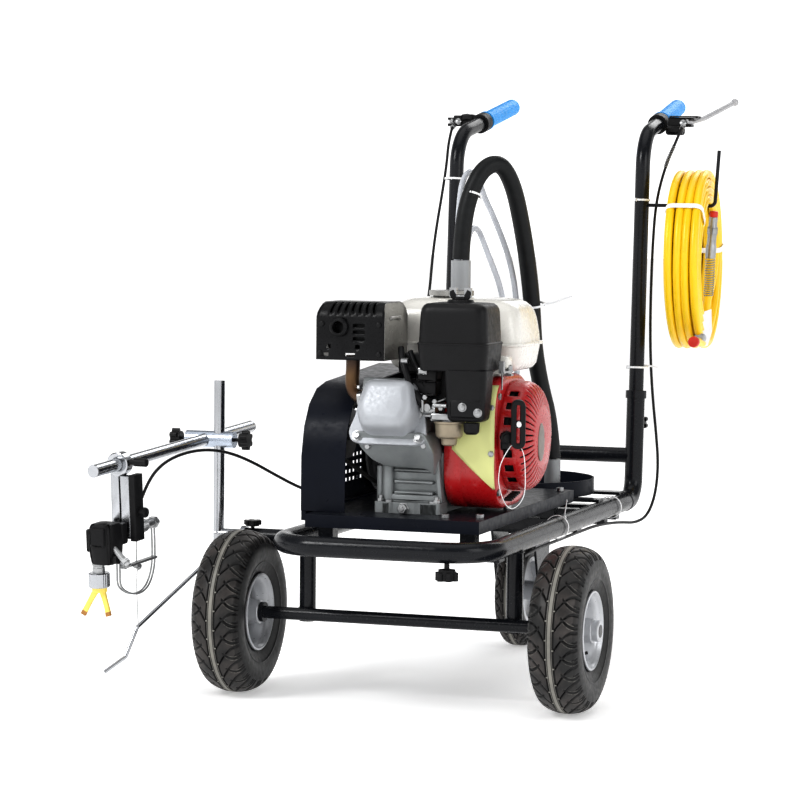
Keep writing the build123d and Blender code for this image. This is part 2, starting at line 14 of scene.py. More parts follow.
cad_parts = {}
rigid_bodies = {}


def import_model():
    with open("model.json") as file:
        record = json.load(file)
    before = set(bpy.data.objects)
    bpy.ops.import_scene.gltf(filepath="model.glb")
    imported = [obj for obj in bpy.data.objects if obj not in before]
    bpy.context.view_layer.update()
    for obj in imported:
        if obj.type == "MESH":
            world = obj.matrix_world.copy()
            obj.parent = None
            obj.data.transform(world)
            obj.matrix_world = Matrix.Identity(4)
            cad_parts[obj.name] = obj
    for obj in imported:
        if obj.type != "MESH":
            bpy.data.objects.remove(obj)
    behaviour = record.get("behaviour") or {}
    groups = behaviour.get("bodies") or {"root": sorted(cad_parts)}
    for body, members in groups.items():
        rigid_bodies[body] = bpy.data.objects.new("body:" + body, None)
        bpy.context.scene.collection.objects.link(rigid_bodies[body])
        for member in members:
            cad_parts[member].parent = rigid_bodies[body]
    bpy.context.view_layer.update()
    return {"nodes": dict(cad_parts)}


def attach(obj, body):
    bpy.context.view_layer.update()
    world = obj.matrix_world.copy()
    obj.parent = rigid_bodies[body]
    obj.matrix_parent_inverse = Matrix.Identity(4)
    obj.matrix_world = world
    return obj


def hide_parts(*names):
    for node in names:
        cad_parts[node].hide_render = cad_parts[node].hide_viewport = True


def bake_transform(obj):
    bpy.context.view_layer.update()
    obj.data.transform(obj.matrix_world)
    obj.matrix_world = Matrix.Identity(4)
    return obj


for old in list(bpy.data.objects):
    bpy.data.objects.remove(old)
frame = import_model()
scene = bpy.context.scene
SHIFT = Vector((78.338, -442.19, 0.0))
TO_ROW = Matrix.Scale(0.001, 4) @ Matrix.Translation(SHIFT)


def row(point):
    """A machine point, in metres in the row frame."""
    return TO_ROW @ Vector(point)


# ---------------------------------------------------------------- camera

CAMERA_AT = (1.59502, -4.98384, 0.81011)
CAMERA_LENS = 137.84
CAMERA_TURN, CAMERA_DOWN, CAMERA_ROLL = 18.56, 3.98, 0.59      # degrees


def link(name, data):
    """A new object in the scene."""
    made = bpy.data.objects.new(name, data)
    scene.collection.objects.link(made)
    return made


def spin(degrees, axis):
    return Matrix.Rotation(math.radians(degrees), 4, axis)


camera_data = bpy.data.cameras.new("camera")
camera_data.lens = CAMERA_LENS
camera_data.sensor_width = 36.0
camera_data.clip_end = 80.0
camera = link("camera", camera_data)
camera.matrix_world = (Matrix.Translation(CAMERA_AT) @ spin(CAMERA_TURN, "Z") @ spin(90 - CAMERA_DOWN, "X")
                       @ spin(CAMERA_ROLL, "Z"))
scene.camera = camera

# ---------------------------------------------------------------- materials


def add(tree, kind, **values):
    """A shader node, with its inputs or settings given by name."""
    made = tree.nodes.new("ShaderNode" + kind)
    for key, value in values.items():
        name = key.replace("_", " ").title()
        if name in made.inputs:
            made.inputs[name].default_value = value
        else:
            setattr(made, key, value)
    return made


def ramp(tree, source, low, high, at=(0.3, 0.7)):
    """Colours from low to high as source goes over the span at."""
    made = add(tree, "ValToRGB")
    for stop, place, colour in zip(made.color_ramp.elements, at, (low, high)):
        stop.position = place
        stop.color = (*colour, 1.0)
    tree.links.new(source, made.inputs["Fac"])
    return made.outputs["Color"]


def span(tree, source, low, high, to_low, to_high):
    """source from low to high, as a value from to_low to to_high."""
    made = add(tree, "MapRange")
    for key, value in (("From Min", low), ("From Max", high), ("To Min", to_low), ("To Max", to_high)):
        made.inputs[key].default_value = value
    tree.links.new(source, made.inputs["Value"])
    return made.outputs["Result"]


def blend_colours(tree, factor, first, second):
    made = add(tree, "Mix", data_type="RGBA")
    tree.links.new(factor, made.inputs["Factor"])
    tree.links.new(first, made.inputs[6])
    if isinstance(second, tuple):
        made.inputs[7].default_value = (*second, 1.0)
    else:
        tree.links.new(second, made.inputs[7])
    return made.outputs[2]


def multiply(tree, first, second):
    made = add(tree, "Math", operation="MULTIPLY")
    tree.links.new(first, made.inputs[0])
    tree.links.new(second, made.inputs[1])
    return made.outputs[0]


GRAIN_DEPTH = 0.0002
DUST_COLOUR = (0.32, 0.30, 0.27)


def material(name, colour, rough, metal=0.0, spread=0.15, patch=14.0, grain=900.0, bump=0.15,
             rounding=0.0, worn=None, dust=0.0, stretch=(1, 1, 1), **shader_values):
    """A finish with mottled colour, uneven roughness and a grain, all made by noise.
    rounding softens hard edges, worn is the colour that shows along them, and dust
    settles on what faces up."""
    made = bpy.data.materials.new(name)
    made.use_nodes = True
    tree = made.node_tree
    shader = tree.nodes["Principled BSDF"]
    for key, value in shader_values.items():
        shader.inputs[key.replace("_", " ").title().replace("Ior", "IOR")].default_value = value
    shader.inputs["Metallic"].default_value = metal
    coords = add(tree, "TexCoord").outputs["Object"]
    place = add(tree, "Mapping", scale=stretch)
    tree.links.new(coords, place.inputs["Vector"])
    coarse = add(tree, "TexNoise", scale=patch, detail=5.0)
    medium = add(tree, "TexNoise", scale=patch * 9, detail=4.0)
    fine = add(tree, "TexNoise", scale=grain, detail=3.0)
    for noise in (coarse, medium, fine):
        tree.links.new(place.outputs["Vector"], noise.inputs["Vector"])
    dark = tuple(c * (1 - spread) for c in colour)
    light = tuple(min(1.0, c * (1 + spread)) for c in colour)
    tone = ramp(tree, coarse.outputs["Fac"], dark, light)
    uneven = span(tree, medium.outputs["Fac"], 0.3, 0.7, max(0.03, rough - 0.07), min(1.0, rough + 0.09))
    relief = add(tree, "Bump", strength=bump, distance=GRAIN_DEPTH)
    tree.links.new(fine.outputs["Fac"], relief.inputs["Height"])
    if rounding:
        soft = add(tree, "Bevel", samples=4, radius=rounding / 1000)
        tree.links.new(soft.outputs["Normal"], relief.inputs["Normal"])
        if worn:
            flat = add(tree, "NewGeometry")
            meet = add(tree, "VectorMath", operation="DOT_PRODUCT")
            tree.links.new(soft.outputs["Normal"], meet.inputs[0])
            tree.links.new(flat.outputs["Normal"], meet.inputs[1])
            edge = span(tree, meet.outputs["Value"], 0.80, 0.92, 1.0, 0.0)
            spots = span(tree, medium.outputs["Fac"], 0.52, 0.66, 0.0, 0.8)
            tone = blend_colours(tree, multiply(tree, edge, spots), tone, worn)
    if dust:
        facing = add(tree, "NewGeometry")
        split = add(tree, "SeparateXYZ")
        tree.links.new(facing.outputs["Normal"], split.inputs[0])
        up = span(tree, split.outputs["Z"], 0.5, 1.0, 0.0, dust)
        cloud = span(tree, coarse.outputs["Fac"], 0.35, 0.65, 0.3, 1.0)
        tone = blend_colours(tree, multiply(tree, up, cloud), tone, DUST_COLOUR)
    tree.links.new(tone, shader.inputs["Base Color"])
    tree.links.new(uneven, shader.inputs["Roughness"])
    tree.links.new(relief.outputs["Normal"], shader.inputs["Normal"])
    return made


FRAME = material("frame_paint", (0.008, 0.009, 0.012), 0.22, patch=20, grain=240, bump=0.015,
                 rounding=1.2, specular_ior_level=0.3)
SHEET = material("sheet_paint", (0.005, 0.007, 0.014), 0.34, patch=11, grain=420, bump=0.05,
                 rounding=1.0, worn=(0.07, 0.07, 0.08), dust=0.03, specular_ior_level=0.14)
CHROME = material("chrome_plate", (0.47, 0.48, 0.50), 0.19, 1.0, spread=0.10, grain=180, bump=0.03,
                  rounding=0.8)
ZINC = material("zinc_plate", (0.38, 0.385, 0.39), 0.34, 1.0, spread=0.16, patch=60, grain=1300,
                bump=0.05, rounding=0.6)
CLAMP = material("clamp_plate", (0.50, 0.55, 0.63), 0.26, 1.0, spread=0.10, patch=50, grain=900,
                 bump=0.02, rounding=0.3)
LEVER = material("lever_cast", (0.46, 0.46, 0.47), 0.36, 0.2, spread=0.05, patch=40, grain=900, bump=0.02)
ALLOY = material("cast_alloy", (0.26, 0.275, 0.28), 0.50, 0.4, spread=0.18, patch=26, grain=1500,
                 bump=0.35, rounding=1.6, worn=(0.46, 0.46, 0.44), dust=0.08)
COVER = material("cover_metal", (0.42, 0.435, 0.46), 0.45, 0.3, spread=0.08, patch=22, grain=2200,
                 bump=0.22, rounding=1.2)
PLASTIC = material("black_plastic", (0.008, 0.008, 0.009), 0.42, grain=1900, bump=0.22, rounding=0.7,
                   worn=(0.04, 0.04, 0.04), dust=0.03, specular_ior_level=0.25)
BLUE = material("grip_rubber", (0.022, 0.34, 0.82), 0.46, spread=0.06, patch=30, grain=1400, bump=0.08)
CREAM = material("tank_enamel", (0.74, 0.725, 0.68), 0.28, spread=0.04, patch=9, grain=300, bump=0.04,
                 coat_weight=0.4, coat_roughness=0.15)
RED = material("fan_enamel", (0.44, 0.007, 0.010), 0.30, spread=0.10, patch=18, grain=420, bump=0.02,
               rounding=0.8, coat_weight=0.35, coat_roughness=0.2)
LABEL = material("label_film", (0.72, 0.74, 0.33), 0.42, spread=0.05, patch=20, grain=160, bump=0.10)
GREY = material("grey_pipe", (0.33, 0.34, 0.35), 0.44, 0.25, spread=0.12, grain=800, bump=0.15)
CLEAR = material("clear_hose", (0.58, 0.60, 0.64), 0.24, spread=0.10, patch=30, grain=260, bump=0.05)
YELLOW = material("yellow_hose", (0.93, 0.62, 0.004), 0.34, spread=0.06, patch=16, grain=520, bump=0.12,
                  coat_weight=0.2, coat_roughness=0.3)
HOSE = material("black_hose", (0.008, 0.009, 0.010), 0.48, spread=0.25, patch=24, grain=620, bump=0.30,
                stretch=(1, 1, 4), specular_ior_level=0.3)
CABLE = material("cable_sheath", (0.010, 0.010, 0.011), 0.42, grain=900, bump=0.12, specular_ior_level=0.3)
NYLON = material("white_nylon", (0.86, 0.87, 0.88), 0.40, spread=0.03, grain=700, bump=0.08)
CARD = material("white_card", (0.82, 0.81, 0.84), 0.65, spread=0.05, patch=40, grain=500, bump=0.2)
BRONZE = material("carburettor_metal", (0.31, 0.265, 0.20), 0.42, 0.5, spread=0.15, patch=40, grain=1500,
                  bump=0.2, rounding=0.6)
GUARD_TIP = material("yellow_tip", (0.95, 0.72, 0.16), 0.32, spread=0.12, patch=60, grain=500, bump=0.06)
TIP_END = material("tip_end", (0.42, 0.20, 0.05), 0.5, spread=0.3, patch=120, grain=900, bump=0.2)
RED_CAP = material("red_cap", (0.62, 0.03, 0.015), 0.35, spread=0.12, patch=60, grain=700, bump=0.08)
MUFFLER = material("muffler_paint", (0.008, 0.008, 0.009), 0.30, spread=0.3, patch=26, grain=900,
                   bump=0.12, rounding=0.8, worn=(0.14, 0.13, 0.12), specular_ior_level=0.18)
SIDE_METAL = material("muffler_side", (0.36, 0.355, 0.34), 0.33, 0.9, spread=0.2, patch=20, grain=700,
                      bump=0.2)
BADGE = material("grey_badge", (0.22, 0.19, 0.17), 0.4, 0.4, spread=0.15, patch=60, grain=900, bump=0.1)
BELT = material("belt_rubber", (0.018, 0.018, 0.018), 0.7, grain=700, bump=0.3)
PULLEY = material("pulley_iron", (0.20, 0.20, 0.21), 0.5, 0.6, spread=0.2, patch=40, grain=900,
                  bump=0.3, rounding=0.8)
SILVER_RIM = material("rim_paint", (0.54, 0.55, 0.57), 0.34, 0.6, spread=0.06, patch=30, grain=900,
                      bump=0.02)
# A darker copy of the rim's silver for the dished disc: painted shade in the dish.
SHADED_RIM_DISC = material("rim_disc", (0.30, 0.305, 0.315), 0.40, 0.5, spread=0.08, patch=30, grain=900, bump=0.02)


def heated_material():
    """Exhaust pipe: straw, brown and grey tints that follow its height."""
    made = material("heated_pipe", (0.2, 0.13, 0.07), 0.36, 0.8, spread=0.3, patch=40, grain=900, bump=0.2)
    tree = made.node_tree
    coords = add(tree, "TexCoord").outputs["Object"]
    split = add(tree, "SeparateXYZ")
    tree.links.new(coords, split.inputs[0])
    wave = add(tree, "TexNoise", scale=60.0, detail=3.0)
    height = add(tree, "Math", operation="MULTIPLY_ADD")
    height.inputs[1].default_value = 0.02
    tree.links.new(wave.outputs["Fac"], height.inputs[0])
    tree.links.new(split.outputs["Z"], height.inputs[2])
    spot = span(tree, height.outputs[0], 0.47, 0.56, 0.0, 1.0)
    tints = add(tree, "ValToRGB")
    stops = tints.color_ramp
    stops.elements[0].color = (0.10, 0.08, 0.07, 1)
    stops.elements[1].color = (0.04, 0.032, 0.028, 1)
    for place, colour in ((0.35, (0.10, 0.055, 0.028, 1)), (0.6, (0.15, 0.09, 0.045, 1)),
                          (0.8, (0.08, 0.05, 0.035, 1))):
        stops.elements.new(place).color = colour
    tree.links.new(spot, tints.inputs["Fac"])
    shader = tree.nodes["Principled BSDF"]
    tree.links.new(tints.outputs["Color"], shader.inputs["Base Color"])
    return made


HEATED = heated_material()


def tyre_material():
    """Rubber whose tread tops are dusty brown, with a grey middle rib, dark grooves and a painted highlight,
    half grey, beside the crossing grooves.
    """
    made = material("tyre_rubber", (0.02, 0.02, 0.02), 0.42, spread=0.3, patch=16, grain=700, bump=0.3,
                    specular_ior_level=0.4)
    tree = made.node_tree
    shader = tree.nodes["Principled BSDF"]
    mark = add(tree, "Attribute", attribute_name="tread")
    noise = add(tree, "TexNoise", scale=22.0, detail=6.0)
    coords = add(tree, "TexCoord").outputs["Object"]
    tree.links.new(coords, noise.inputs["Vector"])
    black = ramp(tree, noise.outputs["Fac"], (0.003, 0.003, 0.0035), (0.006, 0.006, 0.006))
    dusty = ramp(tree, noise.outputs["Fac"], (0.014, 0.0138, 0.0138), (0.070, 0.060, 0.056), (0.42, 0.74))
    grey = ramp(tree, noise.outputs["Fac"], (0.17, 0.165, 0.15), (0.29, 0.28, 0.25))
    on_tread = span(tree, mark.outputs["Fac"], 0.1, 1.0, 0.0, 1.0)
    # marks from 1.2 up turn grey: the rib at 2, and the painted highlight at 1.6 half way
    rib_and_painted_highlight = span(tree, mark.outputs["Fac"], 1.2, 2.0, 0.0, 1.0)
    tone = blend_colours(tree, rib_and_painted_highlight, blend_colours(tree, on_tread, black, dusty), grey)
    tree.links.new(tone, shader.inputs["Base Color"])
    return made


TYRE = tyre_material()

# ---------------------------------------------------------------- mesh helpers


def carry(made, finish, body, replaces=()):
    """Finish an object, tie it to its body, and hide the nodes that it stands for."""
    made.data.materials.append(finish)
    if body:
        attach(made, body)
    if replaces:
        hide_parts(*replaces)
    return made


def piece(name, shape, finish, body, replaces=(), sharp=32.0, edge=0.0, thick=0.0):
    """A mesh object from a bmesh in machine millimetres, riding on a body."""
    bmesh.ops.recalc_face_normals(shape, faces=shape.faces)
    mesh = bpy.data.meshes.new(name)
    shape.to_mesh(mesh)
    shape.free()
    mesh.transform(TO_ROW)
    for face in mesh.polygons:
        face.use_smooth = True
    made = link(name, mesh)
    if thick:
        wall = made.modifiers.new("wall", "SOLIDIFY")
        wall.thickness = thick / 1000
        wall.offset = 0.0
    if edge:
        soft = made.modifiers.new("edge", "BEVEL")
        soft.width = edge / 1000
        soft.segments = 2
        soft.limit_method = "ANGLE"
        soft.angle_limit = math.radians(sharp)
        soft.harden_normals = True
    else:
        mesh.set_sharp_from_angle(angle=math.radians(sharp))
    return carry(made, finish, body, replaces)


def circle(count):
    """Angles of count even steps round a full turn."""
    return [2 * math.pi * k / count for k in range(count)]


def hexagon(r):
    return [(r * math.cos(k * math.pi / 3), r * math.sin(k * math.pi / 3)) for k in range(6)]


def open_ends(shape):
    """Take the end discs off a turned body."""
    discs = [f for f in shape.faces if len(f.verts) > 8]
    bmesh.ops.delete(shape, geom=discs, context="FACES_ONLY")


def loft(shape, rings, closed=False):
    """Skin over rings of equal length, capped at both ends unless it closes on itself."""
    rows = [[shape.verts.new(p) for p in ring] for ring in rings]
    follow = rows[1:] + (rows[:1] if closed else [])
    for a, b in zip(rows, follow):
        for i in range(len(a)):
            j = (i + 1) % len(a)
            shape.faces.new((a[i], a[j], b[j], b[i]))
    if not closed:
        shape.faces.new(rows[0])
        shape.faces.new(rows[-1])


def soft_poly(points, r, n=4):
    """Outline with its corners rounded by about r."""
    out = []
    count = len(points)
    for i in range(count):
        before, corner, after = (Vector(points[k % count]) for k in (i - 1, i, i + 1))
        a = corner + (before - corner).normalized() * r
        b = corner + (after - corner).normalized() * r
        for k in range(n + 1):
            t = k / n
            out.append(a * (1 - t) ** 2 + corner * 2 * t * (1 - t) + b * t * t)
    return out


def rectangle(cx, cy, w, h, r, n=5):
    a, b = w / 2, h / 2
    corners = [(cx + a, cy + b), (cx - a, cy + b), (cx - a, cy - b), (cx + a, cy - b)]
    return soft_poly(corners, r, n)


def stack(shape, cx, cy, levels, n=5):
    """Body built up in Z from rounded rectangles: levels hold (z, width, depth, corner)."""
    loft(shape, [[(p.x, p.y, z) for p in rectangle(cx, cy, w, d, r, n)] for z, w, d, r in levels])


def axes(origin, x, y, z):
    """Matrix that puts its three axes along x, y and z at origin."""
    turned = Matrix((x, y, z)).transposed().to_4x4()
    return Matrix.Translation(Vector(origin)) @ turned


def along(origin, axis):
    """Matrix whose Z runs along axis from origin."""
    turned = Vector(axis).normalized().to_track_quat("Z", "Y").to_matrix().to_4x4()
    return Matrix.Translation(Vector(origin)) @ turned


def lathe(shape, profile, origin, axis, steps=40):
    """Turned body: profile holds (distance along axis, radius)."""
    place = along(origin, axis)
    rings = []
    for h, r in profile:
        r = max(r, 0.02)
        rings.append([place @ Vector((r * math.cos(a), r * math.sin(a), h)) for a in circle(steps)])
    loft(shape, rings)


def rod(shape, p, q, r, steps=20):
    p, q = Vector(p), Vector(q)
    lathe(shape, [(0, r), ((q - p).length, r)], p, q - p, steps)


def tube(shape, line, r, steps=12):
    """Round tube along a line of points, without twist."""
    line = [Vector(p) for p in line]
    ahead = [(b - a).normalized() for a, b in zip(line, line[1:])]
    ahead = [ahead[0]] + [(a + b).normalized() for a, b in zip(ahead, ahead[1:])] + [ahead[-1]]
    side = ahead[0].orthogonal().normalized()
    rings = []
    for p, d in zip(line, ahead):
        side = (side - d * side.dot(d)).normalized()
        other = d.cross(side)
        rings.append([p + (side * math.cos(a) + other * math.sin(a)) * r
                      for a in circle(steps)])
    loft(shape, rings)


def block(shape, x, y, z, r=0.0, place=None, steps=2):
    """Box over spans x, y, z with rounded edges."""
    corners = [Vector((a, b, c)) for c in z for b in y for a in x]
    if place:
        corners = [place @ c for c in corners]
    v = [shape.verts.new(c) for c in corners]
    sides = ((0, 1, 3, 2), (4, 5, 7, 6), (0, 1, 5, 4), (2, 3, 7, 6), (0, 2, 6, 4), (1, 3, 7, 5))
    faces = [shape.faces.new([v[i] for i in side]) for side in sides]
    if r:
        edges = list({e for f in faces for e in f.edges})
        bmesh.ops.bevel(shape, geom=edges, offset=r, segments=steps, profile=0.5, affect="EDGES")


def prism(shape, outline, place, z0, z1):
    """Outline in the XY plane of place, from z0 to z1."""
    loft(shape, [[place @ Vector((p[0], p[1], z)) for p in outline] for z in (z0, z1)])


def sheet_grid(shape, us, vs, point, open_at, wrap=False):
    """Surface over grid lines us and vs, without the cells where open_at(i, j) is true."""
    rows = [[shape.verts.new(point(u, v)) for v in vs] for u in us]
    if wrap:
        rows.append(rows[0])
    for i in range(len(rows) - 1):
        for j in range(len(vs) - 1):
            if not open_at(i, j):
                shape.faces.new((rows[i][j], rows[i + 1][j], rows[i + 1][j + 1], rows[i][j + 1]))
    loose = [v for v in shape.verts if not v.link_faces]
    bmesh.ops.delete(shape, geom=loose, context="VERTS")


def smooth_line(points, each=6):
    """Catmull-Rom line through the points."""
    pts = [Vector(p) for p in points]
    pts = [pts[0] * 2 - pts[1]] + pts + [pts[-1] * 2 - pts[-2]]
    out = []
    for a, b, c, d in zip(pts, pts[1:], pts[2:], pts[3:]):
        for k in range(each):
            t = k / each
            out.append(0.5 * (2 * b + (c - a) * t + (2 * a - 5 * b + 4 * c - d) * t * t
                              + (3 * b - a - 3 * c + d) * t ** 3))
    out.append(pts[-2])
    return out


# ---------------------------------------------------------------- hoses and cables


def route_curve(name, points, r=0.0):
    """Smooth curve whose control points are the route, with round section r."""
    curve = bpy.data.curves.new(name, "CURVE")
    curve.dimensions = "3D"
    line = curve.splines.new("NURBS")
    line.points.add(len(points) - 1)
    for spot, p in zip(line.points, points):
        spot.co = (*row(p), 1.0)
    line.order_u = 3
    line.use_endpoint_u = True
    curve.resolution_u = 8
    curve.bevel_depth = r / 1000
    curve.bevel_resolution = 5
    curve.use_fill_caps = True
    return link(name, curve)


def route_line(points):
    """The smooth line that a route makes, in the row frame."""
    guide = route_curve("guide", points)
    bpy.context.view_layer.update()
    mesh = bpy.data.meshes.new_from_object(guide.evaluated_get(bpy.context.evaluated_depsgraph_get()))
    line = [v.co.copy() for v in mesh.vertices]
    bpy.data.objects.remove(guide)
    return line


def length_of(line):
    return sum((b - a).length for a, b in zip(line, line[1:]))


def hose(name, points, r, finish, body, replaces=(), **words):
    """A free hose or cable, riding on one body."""
    made = carry(route_curve(name, points, r), finish, body, replaces)
    length_of(route_line(points))


SUCTION = [(-15, 332, 690.2), (-14, 335, 742), (-6, 344, 797), (12, 360, 843), (36, 384, 854),
           (52, 408, 815), (59, 436, 750), (63, 464, 680), (65, 486, 609), (63, 506, 541),
           (69, 528, 474), (82, 547, 408), (86, 552, 345.2)]
RETURN_A = [(-36, 366, 446), (-37, 370, 520), (-37, 373, 596), (-36, 373, 668), (-34, 372, 736),
            (-31, 372, 790), (-29, 377.5, 817), (-27, 393, 833), (-24, 414.5, 838.5), (-22, 436, 833),
            (-20, 451.5, 817), (-14, 459, 793), (0, 462, 764), (15, 465, 728), (29, 469, 688),
            (38, 474, 640), (41, 481, 580), (38, 491, 518), (35, 500, 455), (34, 506, 390), (34.5, 510, 322)]
RETURN_B = [(-18, 372, 446), (-20, 376, 510), (-22, 378, 574), (-23, 379, 632), (-22, 379, 678),
            (-20, 379, 705), (-19.5, 384, 724), (-19, 398, 738), (-18.5, 417, 743), (-17, 436, 738),
            (-14, 449, 723), (-8, 455, 703), (2, 457, 678), (13, 459, 650), (21, 463, 614),
            (25, 469, 566), (23, 479, 508), (18, 490, 450), (14, 500, 390), (12, 506, 326)]
GUN_CABLE = [(-394, -122, 318), (-389, -108, 345), (-377, -78, 370), (-360, -36, 383), (-341, 14, 386),
             (-321, 62, 378), (-299, 108, 360), (-275, 154, 335), (-250, 200, 311), (-226, 248, 294),
             (-206, 300, 286)]
LEVER_CABLE = [(-213, 898.4, 921.6), (-214, 880, 896), (-207, 848, 852), (-202, 806, 796), (-197, 760, 738),
               (-190, 716, 682), (-180, 672, 624), (-176, 628, 566), (-178, 580, 508), (-184, 526, 452),
               (-192, 466, 398), (-199, 402, 348), (-205, 340, 308), (-206, 306, 291)]
BRAKE_CABLE = [(223, 898.4, 921.6), (214, 882, 891), (203, 850, 844), (197, 818, 786), (196, 804, 716),
               (196, 796, 640), (197, 790, 566), (200, 786, 500), (206, 782, 436), (214, 778, 376),
               (221, 770, 320), (221, 752, 268), (214, 722, 232), (202, 680, 224), (192, 628, 230),
               (184, 566, 234), (178, 498, 236), (175, 426, 235), (177, 352, 236), (175, 276, 235),
               (177, 202, 236), (176, 128, 235), (178, 66, 232)]

CABLE_R = 2.5
hose("suction_line", SUCTION, 14.5, HOSE, "frame", ["suction_hose"], stiffness="stiff", lay="hanging")
hose("return_line_a", RETURN_A, 5.0, CLEAR, "frame", ["return_hoses"], stiffness="medium", lay="hanging")
hose("return_line_b", RETURN_B, 5.0, CLEAR, "frame", stiffness="medium", lay="hanging")
hose("gun_line", GUN_CABLE, CABLE_R, CABLE, "gun_arm", ["gun_cable"], stiffness="stiff", lay="hanging")


def lever_line(name, points, replaces=()):
    """Cable between the frame and the handles, as a mesh tube with its place baked in."""
    line = route_line(points)
    shape = bmesh.new()
    tube(shape, [TO_ROW.inverted() @ p for p in line], CABLE_R, 10)
    made = piece(name, shape, CABLE, None, replaces)
    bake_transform(made)


lever_line("lever_line", LEVER_CABLE, ["lever_cables"])
lever_line("brake_line", BRAKE_CABLE)

# the yellow hose: four layers of four turns, wound round an axis nearly along X
COIL_C = Vector((272, 800, 687))
COIL_AXIS = Vector((math.cos(math.radians(4.5)), math.sin(math.radians(4.5)), 0))
COIL_SIDE = Vector((-COIL_AXIS.y, COIL_AXIS.x, 0))
UP = Vector((0, 0, 1))
TURN_POINTS = 16
LAYERS = LAYER_TURNS = 4
ROUND_UP = 1 / 0.981        # a spline runs inside its control points by this share
HOSE_R = 7.4
HOSE_PITCH = 15.2
INNER_R, LAYER_STEP = 108.5, 14.0
STEP_AT = 0.72              # the share of a turn after which the hose moves over


def coil_point(radius, angle, shift):
    """A place on the coil: shift is along its axis."""
    return COIL_C + (COIL_SIDE * math.cos(angle) + UP * math.sin(angle)) * radius + COIL_AXIS * shift


def ease(t, start):
    """From 0 at start to 1 at the end, without corners."""
    t = min(1.0, max(0.0, (t - start) / (1 - start)))
    return t * t * (3 - 2 * t)


def coil_route():
    """From the upper fitting down inside, round every turn, and out to the lower fitting."""
    points = [Vector((313, 772, 765)), Vector((310, 775, 727)), Vector((307, 779, 690)),
              Vector((305, 784, 655)), Vector((302, 788, 620))]
    for k in range(LAYERS * LAYER_TURNS * TURN_POINTS + 1):
        turns = k / TURN_POINTS
        layer, within = divmod(min(turns, LAYERS * LAYER_TURNS - 0.001), LAYER_TURNS)
        angle = math.radians(-95) - turns * 2 * math.pi
        step = math.floor(within)
        place = step + ease(within - step, STEP_AT) if step < 3 else 3
        grow = ease(within - 3, STEP_AT) if step == 3 and layer < 3 else 0
        shift = (1.5 - place) * HOSE_PITCH * (1 if layer % 2 == 0 else -1)
        radius = INNER_R + LAYER_STEP * (layer + grow)
        radius += 0.9 * math.sin(2 * angle + 1.7 * layer) + 0.7 * math.sin(3 * angle + step)
        shift += 1.1 * math.sin(angle + 2.1 * step + layer)
        points.append(coil_point(radius * ROUND_UP, angle, shift))
    points[-1] = coil_point(151, math.radians(-88), 23)
    return points + [Vector((300, 762, 538)), Vector((303, 737, 541)), Vector((304, 712, 545)),
                     Vector((304, 684, 546))]


coil_points = coil_route()
coil = route_curve("spray_hose", coil_points, HOSE_R)
coil.data.resolution_u = 4
carry(coil, YELLOW, "handles", ["hose_coil"])


def spring(shape, line, r, wire, turns, steps=10):
    """Wire wound round a line of points."""
    count = turns * steps
    out = []
    for k in range(count + 1):
        t = k / count * (len(line) - 1)
        i = min(int(t), len(line) - 2)
        p = line[i].lerp(line[i + 1], t - i)
        d = (line[i + 1] - line[i]).normalized()
        a = d.orthogonal().normalized()
        b = d.cross(a)
        angle = 2 * math.pi * k / steps
        out.append(p + (a * math.cos(angle) + b * math.sin(angle)) * r)
    tube(shape, out, wire, 6)


shape = bmesh.new()
top, low_end = Vector((313.5, 771, 762)), Vector((307, 779, 690))
lathe(shape, [(0, 8.2), (2, 9.2), (22, 9.2), (24, 8.2), (40, 8.0), (42, 8.6), (56, 8.6), (58, 7.6),
              (74, 7.6)],
      low_end, top - low_end, 24)
for k in range(6):
    spot = along(low_end, top - low_end) @ Matrix.Rotation(k * math.pi / 3, 4, "Z")
    block(shape, (-4.6, 4.6), (7.6, 9.0), (43, 55), 0.5, spot)
spring(shape, [Vector((307, 779, 690)), Vector((305.5, 784, 655)), Vector((302.5, 788, 624))], 8.6, 0.9, 16)
lathe(shape, [(0, 8.6), (20, 8.6), (22, 7.8)], (304, 734, 550), (0, -1, 0.12), 24)
fitting = piece("hose_ferrules", shape, ZINC, "handles", ["hose_fittings"])
shape = bmesh.new()
lathe(shape, [(0, 8.3), (1.5, 9.6), (10, 9.6), (12, 8.6), (12.5, 0)], (304, 681, 546), (0, -1, 0), 28)
lathe(shape, [(0, 6.5), (0.5, 7.6), (9, 7.6), (11, 6.4), (11.4, 0)], top, top - low_end, 24)
caps = piece("hose_caps", shape, RED_CAP, "handles")
length_of(route_line(coil_points))

# ---------------------------------------------------------------- wheels


def tyre(name, centre, profile, pitches, around, body, node, shoulder):
    """Pneumatic tyre: a grey middle rib between two grooves, and curved crossing grooves
    out to the shoulders, repeated pitches times. Profile holds (distance along the axle,
    radius), bead to bead."""
    line = smooth_line([(x, r, 0) for x, r in profile], 5)
    rows = []
    marks = []
    tread_from = profile[len(profile) // 2][1] * 0.85
    for angle in circle(around):
        ring = []
        for p, q, s in zip(line[:1] + line, line, line[1:] + line[-1:]):
            d = (s - p).normalized()
            x, r = q.x, q.y
            depth, mark = tread_depth(abs(x), x > 0, angle, pitches, shoulder, r > tread_from)
            x += d.y * depth * 0.6
            r -= abs(d.x) * depth
            ring.append(Vector((centre[0] + x, centre[1] + r * math.cos(angle),
                                centre[2] + r * math.sin(angle))))
            marks.append(mark)
        rows.append(ring)
    shape = bmesh.new()
    layer = shape.verts.layers.float.new("tread")
    verts = [[shape.verts.new(p) for p in ring] for ring in rows]
    for v, mark in zip((v for ring in verts for v in ring), marks):
        v[layer] = mark
    for a, b in zip(verts, verts[1:] + verts[:1]):
        for j in range(len(a)):
            k = (j + 1) % len(a)
            shape.faces.new((a[j], a[k], b[k], b[j]))
    return piece(name, shape, TYRE, body, [node], sharp=60)


def fall(distance, half):
    """One inside a groove of that half width, with soft sides."""
    return min(1.0, max(0.0, 1.6 - distance / half))


